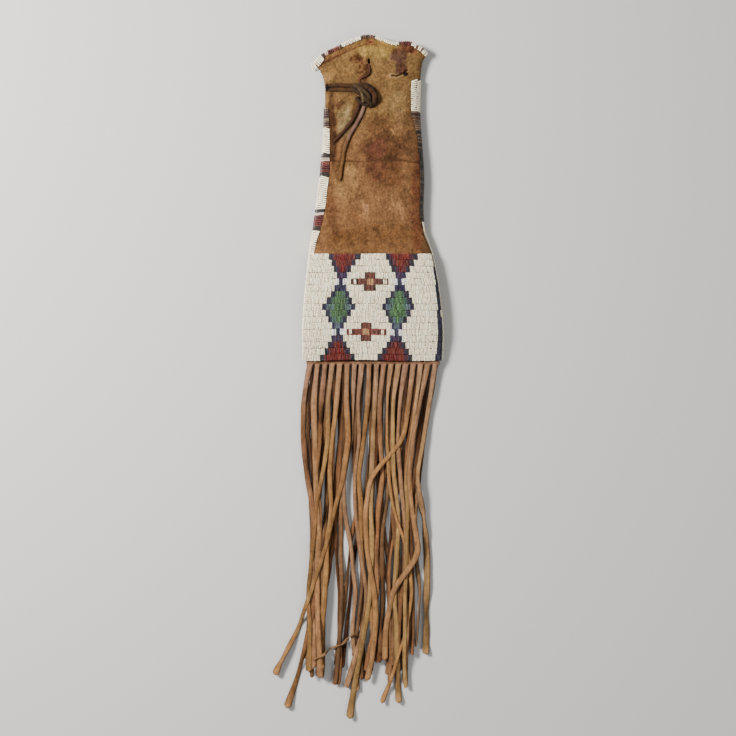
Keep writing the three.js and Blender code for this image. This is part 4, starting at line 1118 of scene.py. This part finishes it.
def add_panels():
    """The front panel with its figures and the plain back panel, lane by lane."""
    for lane in range(1, LANES + 1):
        y = PANEL_TOP - (lane - 0.5) * LANE
        middle, half = measure(y)[:2]
        lane_width = np.interp(y, [PANEL_BOTTOM, PANEL_TOP], [SIDE_LANE_BOTTOM, SIDE_LANE_TOP])
        for front in (True, False):
            count = int(round(line_length(section(y, front)) / STRING_PITCH[front]))
            path, side = lane_paths(lane, front, (np.arange(count) + 0.5) / count)
            x = path[:, LANE_BEADS, 0]
            if front:
                outer_edge = middle + half + BEAD_STACK
                groups, colour = front_field(lane, x, outer_edge - lane_width, outer_edge)
            else:
                groups, colour = ground(count, "back_panel", BACK_WHITE)
                left = x < middle - half - BEAD_STACK + LEFT_LANE
                paint((groups, colour), left, LANE_NAVY, "left_side_lane")
            pale = shades(colour, count, LANE_BEADS, *PALE_SPREADS)
            deep = shades(colour, count, LANE_BEADS, *DEEP_SPREADS)
            tint = np.where(colour.mean(2, keepdims=True) > PALE_FROM, pale, deep)
            tint[rng.random((count, LANE_BEADS)) < SPECK_ODDS] *= SPECK_SHADE
            rusty = (groups == "triangles") & (rng.random((count, 1)) < RUST_ODDS)
            tint[rusty] = mix(tint[rusty], RUST, RUST_SHARE)
            drop_beads(path, side, BEAD_RADIUS, groups.astype(str), tint, BEAD_SIDES[front])
    for name, (colour, group, nodes) in PANEL_PIECES.items():
        make_beads(name, colour, group, nodes)


# Side strips: tones of each kind of band; the left strip's top band is rubbed, the right strip's middle bands
# are painted shade
STRIP_TONES = {
    "white": [WHITE], "dark": [lin(25, 24, 26), lin(38, 33, 31)],
    "pale": [lin(206, 184, 166), lin(214, 176, 160)],
    "red": [lin(94, 31, 27), lin(74, 23, 22), lin(114, 54, 46)],
    "dim_shade": [lin(74, 66, 55), lin(52, 47, 39), lin(92, 82, 68), lin(44, 38, 32)],
    "rubbed": [lin(112, 86, 68), lin(74, 54, 42), lin(142, 120, 100), lin(58, 42, 33)],
    "shade_flecked": [lin(108, 84, 64), lin(50, 40, 34), lin(44, 36, 32), lin(124, 96, 72)],
    "burnt": [lin(92, 64, 50), lin(56, 44, 40), lin(116, 84, 66), lin(66, 48, 42)],
}
# The right strip's middle bands are toned dark as painted shade on the side turned from the light.
RUBBED_AND_SHADED_BANDS = {("left", 0): "rubbed", ("right", 1): "shade_flecked", ("right", 2): "shade_flecked", ("right", 3): "dim_shade"}
STRIP_PITCH, STRIP_LANE, STRIP_BEAD, STRIP_BEAD_RADIUS, STRIP_BEAD_SIDES = 2.15, 9.5, 1.35, 1.02, 5
STRIP_FOOT_LIFT, STRIP_ARCH, STRIP_BEAD_SPREAD = 0.6, (0.9, 0.35), 0.05
# Lean of the strings, and spread of their tones, in white bands and in others
WHITE_BAND, OTHER_BAND = (0.8, 0.05), (0.3, 0.14)


def strip_line(y, side):
    """Line of one side's strip at y, from its edge on the front round the side down to its foot."""
    direction, _, widths, _ = STRIPS[side]
    front, back = section(y, True), section(y, False)
    if direction < 0:
        front, back = front[::-1], back[::-1]
    middle, half = measure(y)[:2]
    edge = middle + direction * (half + BEAD_STACK - strip_width(y, widths))
    over = front[direction * (front[:, 0] - edge) > 0]
    under = back[(direction * (back[:, 0] - middle) > 0) & (back[:, 1] > STRIP_FOOT + STRIP_FOOT_LIFT)]
    return np.concatenate([over, under[1:]])


def drop_band(side, number, top, colour, length):
    """The strings of one band, which cross the strip in one or more lanes."""
    direction = STRIPS[side][0]
    count = max(int(round((length - GAP) / STRIP_PITCH)), 2)
    ys = top - GAP - (np.arange(count) + 0.5) * (length - GAP) / count
    girth = line_length(strip_line(top - length / 2, side))
    lanes = max(int(round(girth / STRIP_LANE)), 1)
    beads = max(int(round(girth / lanes / STRIP_BEAD)), 3)
    share = ring_shares(beads)
    tones = STRIP_TONES[RUBBED_AND_SHADED_BANDS.get((side, number), colour)]
    lean, spread = WHITE_BAND if colour == "white" else OTHER_BAND
    for lane in range(lanes):
        path = np.empty((count, len(share), 3))
        for k, y in enumerate(ys):
            point, normal = along(strip_line(y, side), (lane + share) / lanes)
            normal = -normal if (normal[:, 0] * direction).sum() < 0 else normal
            slant = 3.2 * math.sin(y / 4.6) + 0.4 * rng.standard_normal()
            over = point + normal * arch(share, *STRIP_ARCH)[:, None]
            path[k] = raised(over, y + slant * (share - 0.5) * lean)
        base = np.stack([tones[i] for i in rng.integers(0, len(tones), count)])[:, None]
        tint = shades(base, count, beads, spread, STRIP_BEAD_SPREAD)
        groups = np.full((count, beads), f"{side}_strip_{colour}")
        drop_beads(path, np.array([0, direction, 0]), STRIP_BEAD_RADIUS, groups, tint, STRIP_BEAD_SIDES)


def add_strips():
    """The strips down the side seams, band by band."""
    for side, (_, top, _, bands) in STRIPS.items():
        for number, (colour, length) in enumerate(bands):
            drop_band(side, number, top, colour, length)
            top -= length
        for colour in sorted({colour for colour, _ in bands}):
            nodes = [f"{side}_strip_{n + 1}_{c}" for n, (c, _) in enumerate(bands) if c == colour]
            make_beads(f"{side}_strip_{colour}_beads", colour, f"{side}_strip_{colour}", nodes)


# Mouth edging: x of its ends, of its colours' ends and of dark flecks of painted shade, and by x how far down
# it comes
EDGING_SPAN = (-70.5, 67)
EDGING_ENDS = np.array([RIM_SHIFT + share * HALF_EARS for _, share in EDGING])
EDGING_SHADE_FLECKS, SHADE_FLECK_HALF = np.array([-56.6, -36.6, -10.6, 3.6, 33.4, 55.4, 61.4]), 1.3
EDGING_REACH = np.array([
    (-70, 6.4), (-58, 6.2), (-55, 3.8), (-36, 3.6), (-12, 3.2), (4, 3), (8, 2.4), (32, 2.4), (38, 3.4),
    (52, 3.4), (58, 4.6), (67, 4.6),
])
EDGING_PITCH, EDGING_BEADS, EDGING_RADIUS, EDGING_SIDES = 2.2, 4, 1.1, 8
EDGING_SPREADS, EDGING_FINE, FURTHEST = (0.1, 0.06), 1200, 0.995
# A string from its foot up over the rim: shares of its way, how far down and how far off the hide
STRING_DOWN = np.array([(0, 1.0), (0.78, 0.1), (0.9, -0.05), (1, -0.07)])
STRING_LIFT = np.array([(0, 0.85), (0.3, 1.25), (0.78, 1.2), (0.9, 0.35), (1, -0.7)])


def add_edging():
    """Strings of beads over the mouth edge, on the front and on the back."""
    xs = np.linspace(*EDGING_SPAN, EDGING_FINE)
    line = np.stack([xs, rim_height(xs)], 1)
    count = int(line_length(line) / EDGING_PITCH)
    point, normal = along(line, (np.arange(count) + 0.5) / count)
    t = np.linspace(0, 1, 2 * EDGING_BEADS + 1)
    lift = np.interp(t, *STRING_LIFT.T)
    rim_ahead = np.stack([normal[:, 1], -normal[:, 0], np.zeros(count)], 1)[:, None]
    which = np.searchsorted(EDGING_ENDS, point[:, 0]).clip(0, len(EDGING) - 1)
    shade_flecked = np.abs(point[:, :1] - EDGING_SHADE_FLECKS).min(1) < SHADE_FLECK_HALF
    for front in (True, False):
        reach = np.interp(point[:, :1], *EDGING_REACH.T) + 0.35 * rng.standard_normal((count, 1))
        down = np.interp(t, *STRING_DOWN.T) * reach
        slant = 0.9 * np.sin(point[:, :1] / 3.1) + 0.35 * rng.standard_normal((count, 1))
        x = point[:, :1] - normal[:, :1] * down + slant * (t - 0.5)
        y = point[:, 1:] - normal[:, 1:] * down
        middle, half = measure(y)[:2]
        share = np.clip((x - middle) / half, -FURTHEST, FURTHEST)
        z = front_height(y, share) + lift if front else back_height(y, share) - lift
        names = [EDGING[k][0] if front else "white" for k in which]
        # Beads at the flecks take the dark brown tones, as painted shade between groups of beads.
        tones = ["burnt" if n == "dark" or (f and front) else n for n, f in zip(names, shade_flecked)]
        base = np.stack([STRIP_TONES[n][rng.integers(0, len(STRIP_TONES[n]))] for n in tones])[:, None]
        groups = np.repeat(np.array([f"edging_{n}" for n in names])[:, None], EDGING_BEADS, 1)
        tint = shades(base, count, EDGING_BEADS, *EDGING_SPREADS)
        sideways = -rim_ahead if front else rim_ahead
        drop_beads(np.stack([x, y, z], -1), sideways, EDGING_RADIUS, groups, tint, EDGING_SIDES, WHOLE_ARC)
    for colour in ("white", "dark", "pale", "red"):
        nodes = [f"mouth_edging_{n + 1}_{c}" for n, (c, _) in enumerate(EDGING) if c == colour]
        if colour == "white":
            nodes.append("mouth_edging_back_white")
        make_beads(f"mouth_edging_{colour}_beads", colour, f"edging_{colour}", nodes)


# Fringe: tones and their odds, and what the head of each ply is toned with, how strongly and how far down
FRONT_TONES = [
    (seen(180, 138, 104), 4), (seen(182, 138, 90), 5), (seen(162, 128, 98), 3), (seen(164, 116, 78), 2),
    (seen(186, 150, 98), 4), (seen(142, 102, 74), 1),
]
# The back ply's own tones, darkened, and some near black, as painted shade between the front strands.
BACK_TONES = [
    (seen(86, 54, 34), 2), (seen(66, 36, 18), 2), (seen(154, 118, 86), 4), (seen(136, 98, 68), 4),
    (seen(152, 106, 70), 4), (seen(148, 116, 86), 3),
]
# The back ply's head is toned dark, as painted shade deep under the front ply.
FRONT_HEAD, BACK_HEAD_SHADE = (seen(176, 140, 118), 0.5, 80), (seen(58, 36, 24), 0.8, 130)
CURLY_TONE, HEADER_LIGHT, HEADER_DARK = seen(164, 128, 92), seen(162, 124, 100), seen(140, 104, 78)
# A thin curly strand, as pixels of the photo
CURLY_STRAND = [(354, 633), (348, 639), (342, 645), (334, 648), (327, 652), (320, 657), (313, 659)]
CURLY_WIDTH, CURLY_LIFT = 3.2, 0.9
FRINGE_TOP, STRAND_STEP, STRAND_THICK, STRAND_TAPER = -64.8, 3.0, 1.2, 1.8
STRAY = 4.5  # how far the tips stray from their drift
PRESSED = 0.86  # share of the pile's height at which a strand comes to rest on it
HEADER_Y, HEADER_WIDTH, HEADER_THICK, HEADER_APART, HEADER_OVER = -64.9, 4.4, 1.6, 1.1, 0.4
# The header's darkening into the seam is painted shade.
HEADER_POINTS, SEAM_SHADE = 120, (-64.6, -63.2)  # y over which the header darkens into the seam
ROOT_SHARE = 0.98  # of the pitch that a strand's root takes
STRAND_SEED, SPLIT_SEED = 31, 577  # steps of the seeds from strand to strand
# Weights that round off a strand's bends and its rests on others
BEND = np.hanning(13)[1:-1]
REST = np.exp(-np.linspace(-2, 2, 13) ** 2)
# Height of the strands laid so far, in cells of 1 mm from a corner at the lower left
PILE_X, PILE_Y = -135, -500
pile = np.zeros((460, 260))


def pile_cells(x, y):
    rows, cols = pile.shape
    return np.clip((y - PILE_Y).astype(int), 0, rows - 1), np.clip((x - PILE_X).astype(int), 0, cols - 1)


def strand_course(strand, start, level, fine, length, seed):
    """x of a strand down its length: the drift of its solid with soft bends, and its own wander."""
    _, _, drifts, tip = strand
    drop = np.concatenate([[0], (np.arange(len(drifts)) + 1) * level * FRINGE_LENGTH, [length]])
    drift = np.concatenate([[0], drifts, [tip]]) * PITCH
    straight = blurred(np.interp(fine, drop, drift), BEND)
    stiff = 0.75 * smooth(0, 40, fine)
    x = start + cubic(fine, drop, drift) * (1 - stiff) + straight * stiff
    wander = 1.6 * ripple(fine, 120, seed, 2, seed * 9.7) + 0.2 * ripple(fine, 24, seed + 5)
    x = x + smooth(8, 60, fine) * wander
    x = x + 3.4 * smooth(70, 220, fine) * ripple(fine, 75, seed + 37, 2, seed * 5.3)
    return x + STRAY * rng.standard_normal() * smooth(0.4, 1, fine / length) ** 1.5


def strand_width(root, flat_width, fine, length, seed):
    """Width of a strand: its root between slits, its own uneven width, and a slight swell near the tip."""
    narrow = 0.72 + 0.4 * rng.random()
    full = narrow * flat_width * (1 + 0.3 * ripple(fine, 60, seed + 7, 2, seed * 2.3))
    full = full * (1 + 0.04 * smooth(0.35, 0.8, fine / length))
    slit = root * (0.16 + 0.19 * rng.random())
    head = root - np.interp(fine, [0, 1.6, 3.4, 7, 14], [0, 0.2, 0.85 * slit, slit, slit])
    settle = smooth(10, 40, fine)
    swell = 1 + 0.22 * smooth(length - 46, length - 10, fine)
    return strip_end(fine, (head * (1 - settle) + full * settle) * swell, STRAND_TAPER)


def strand_tints(verts, fine, length, palette, head, seed):
    """Two tones that run together, the head's tone, a pale tip, and painted shade on the edges and the
    underside.
    """
    tones, odds = np.stack([tone for tone, _ in palette]), np.array([odd for _, odd in palette], float)
    base, other = (tones[rng.choice(len(tones), p=odds / odds.sum())] for _ in range(2))
    s = np.repeat(fine, RING)
    colour = mix(base, other, np.clip(0.35 + 0.6 * ripple(s, 90, seed + 23, row=seed), 0, 1))
    head_tone, head_share, head_reach = head
    # The head's tone; on the back ply it is painted shade.
    colour = mix(colour, head_tone, head_share * (1 - smooth(15, head_reach, s)))
    # Painted shade on the edges of each strand.
    edge = 1 - 0.68 * np.tile(RING_EDGE, len(fine)) ** 5
    tip_pale = 1 + 0.2 * smooth(length - 12, length - 3, s)
    dirt = 1 + 0.14 * cloud(verts[:, 0], verts[:, 1], 9, seed + 29)
    # The underside is painted darker, as shade.
    side = np.tile(np.repeat([1, 0.82], STRIP_POINTS), len(fine))
    return colour * (edge * tip_pale * dirt * side)[:, None]


def lay_strand(strand, start, root, level, header_z, flat_width, palette, head, seed):
    """Lays one strand on what is already there. Returns its points, quads and tints."""
    length = strand[1] * FRINGE_LENGTH
    fine = np.arange(0, length, STRAND_STEP)
    fine = np.concatenate([fine, [length - 0.6, length]]) if length - fine[-1] > 1 else fine
    x, y = strand_course(strand, start, level, fine, length, seed), FRINGE_TOP - fine
    width = strand_width(root, flat_width, fine, length, seed)
    loose = smooth(6, 40, fine)
    below = blurred(highest(pile[pile_cells(x, y)], 5), BEND)
    calm = 1 - 0.66 * smooth(1.5, 5.5, below)
    twist = calm * loose * 1.6 * ripple(fine, 58, seed + 11, 2, seed * 3.1)
    curl = 0.06 + loose * np.clip(0.1 + 0.36 * ripple(fine, 48, seed + 17, 2, seed * 1.7), 0, 0.6)
    a, b, _, _ = cross_line(width, curl)
    level_out = a * np.cos(twist)[:, None] - b * np.sin(twist)[:, None]
    rise = a * np.sin(twist)[:, None] + b * np.cos(twist)[:, None]
    slope = np.gradient(x, fine)[:, None]
    fx = x[:, None] + 1 / np.hypot(1, slope) * level_out
    fy = y[:, None] + slope / np.hypot(1, slope) * level_out
    need = (pile[pile_cells(fx, fy)] * PRESSED - rise).max(1) + STRAND_THICK / 2
    rest = np.maximum(blurred(highest(need, 2), REST), need - 0.25)
    hang = header_z * (1 - smooth(0, 85, fine)) ** 1.4
    sewn = 1 - smooth(0, 10, fine)
    z = np.maximum(rest, hang) * (1 - sewn) + header_z * sewn
    top = z[:, None] + rise + STRAND_THICK / 2
    ahead = np.minimum(np.arange(len(fine)) + 1, len(fine) - 1)
    for share in (0, 1 / 3, 2 / 3):
        px, py = fx + (fx[ahead] - fx) * share, fy + (fy[ahead] - fy) * share
        for nudge in (-0.4, 0.4):
            np.maximum.at(pile, pile_cells(px + nudge, py), top)
    verts, faces = ribbon(np.stack([x, y, z], 1), width, STRAND_THICK, twist, curl)
    return verts, faces, strand_tints(verts, fine, length, palette, head, seed)


def curly_strand(seed):
    """A thin curly strand that lies across the others."""
    px, py = np.array(CURLY_STRAND, float).T
    flat, places = spaced(np.stack([(px - PHOTO_X) * PIXEL, (PHOTO_Y - py) * PIXEL], 1), 1.0)
    z = blurred(highest(pile[pile_cells(flat[:, 0], flat[:, 1])], 3), REST) + CURLY_LIFT
    width = strip_end(places, np.full(len(places), CURLY_WIDTH), 2)
    verts, faces = ribbon(np.column_stack([flat, z]), width, STRAND_THICK, places / 4.5, 0.4)
    return verts, faces, CURLY_TONE * (1 + 0.2 * cloud(verts[:, 0], verts[:, 1], 6, seed))[:, None]


def header(header_z, seed):
    """The uncut strip at the head of a fringe, with painted shade where it goes into the seam."""
    x = np.linspace(FRINGE_LEFT - HEADER_OVER, FRINGE_LEFT + FRINGE_WIDTH + HEADER_OVER, HEADER_POINTS)
    path = np.stack([x, HEADER_Y + 0.25 * ripple(x, 30, seed), header_z + 0.15 * ripple(x, 22, seed + 3)], 1)
    verts, faces = ribbon(path, HEADER_WIDTH, HEADER_THICK, 0, 0)
    patches = np.clip(0.5 + 0.8 * cloud(verts[:, 0], verts[:, 1], 9, seed + 7), 0, 1)
    tone = mix(HEADER_LIGHT, HEADER_DARK, patches)
    return verts, faces, tone * (1 - 0.75 * smooth(*SEAM_SHADE, verts[:, 1]))[:, None]


def add_fringe(name, node, strands, splits, level, header_z, flat_width, palette, head, seed, extra=()):
    """One ply: its header and its strands, layer by layer. Each solid's ribbon is split into some strands."""
    made = [header(header_z, seed)]
    root = ROOT_SHARE * PITCH / splits
    jobs = [(strand, i, k) for i, strand in enumerate(strands) for k in range(splits)]
    for strand, i, k in sorted(jobs, key=lambda job: job[0][0]):
        start = FRINGE_LEFT + (i + (k + 0.5) / splits) * PITCH
        own = seed + STRAND_SEED * (i + 1) + SPLIT_SEED * k
        made.append(lay_strand(strand, start, root, level, header_z, flat_width, palette, head, own))
    made += [lay(seed) for lay in extra]
    piece = make_mesh(name, *joined(made), FRINGE, "fringe_hide", [node])


def add_fringes():
    """The back ply of narrow strands, and the front ply on it."""
    add_fringe(
        "fringe_back_ply", "back_fringe", BACK_STRANDS, splits=2, level=BACK_LEVEL,
        header_z=SEAM_MIDDLE - HEADER_APART, flat_width=4.9, palette=BACK_TONES, head=BACK_HEAD_SHADE, seed=300,
    )
    add_fringe(
        "fringe_front_ply", "front_fringe", FRONT_STRANDS, splits=1, level=FRONT_LEVEL,
        header_z=SEAM_MIDDLE + HEADER_APART, flat_width=6, palette=FRONT_TONES, head=FRONT_HEAD, seed=700,
        extra=[curly_strand],
    )


# Seam thread: from and to y on each side where no beads cover the seam
THREAD_SPANS = {-1: (237, 284), 1: (270, 297)}
STITCH_PITCH, STITCH_RADIUS, STITCH_SIDES, STITCH_POINTS = 3.1, 0.42, 6, 9
STITCH_OUT, STITCH_IN, STITCH_SLANT, STITCH_RISE = 0.45, 1.5, 1.1, 2.1
THREAD_TONE = seen(176, 146, 104)


def add_thread():
    """Stitches over the bare side seams."""
    stitches = []
    t = np.linspace(-1, 1, STITCH_POINTS)
    for direction, span in THREAD_SPANS.items():
        for y in np.arange(*span, STITCH_PITCH):
            middle, half, _, _, left, right = measure(y)
            x = middle + direction * half + direction * (STITCH_OUT - STITCH_IN * t ** 2)
            slant = STITCH_SLANT * t + 0.2 * rng.standard_normal()
            z = (left if direction < 0 else right) + STITCH_RISE * t
            verts, faces = round_tube(np.stack([x, y + slant, z], 1), STITCH_RADIUS, STITCH_SIDES)
            tone = THREAD_TONE * (1 + 0.2 * cloud(verts[:, 1] * 3, verts[:, 2], 4, 131))[:, None]
            stitches.append((verts, faces, tone))
    make_mesh("side_seam_thread", *joined(stitches), THREAD, "thong_hide")


def round_tube(path, radius, sides):
    """Points and quads of a tube along a path."""
    ahead = unit(np.gradient(path, axis=0))
    across = unit(np.cross(ahead, [0, 1.0, 0.2]))
    up = np.cross(across, ahead)
    angle = np.linspace(0, 2 * math.pi, sides, endpoint=False)[:, None]
    rings = path[:, None] + radius * (across[:, None] * np.cos(angle) + up[:, None] * np.sin(angle))
    return rings.reshape(-1, 3), grid_faces(len(path), sides, True)[:, TURNED]


# The scene
add_camera()
add_floor()
for light_name, light_values in LIGHTS.items():
    add_light(light_name, *light_values)
add_world()
add_thong()
add_hides()
add_panels()
add_strips()
add_edging()
add_fringes()
add_thread()
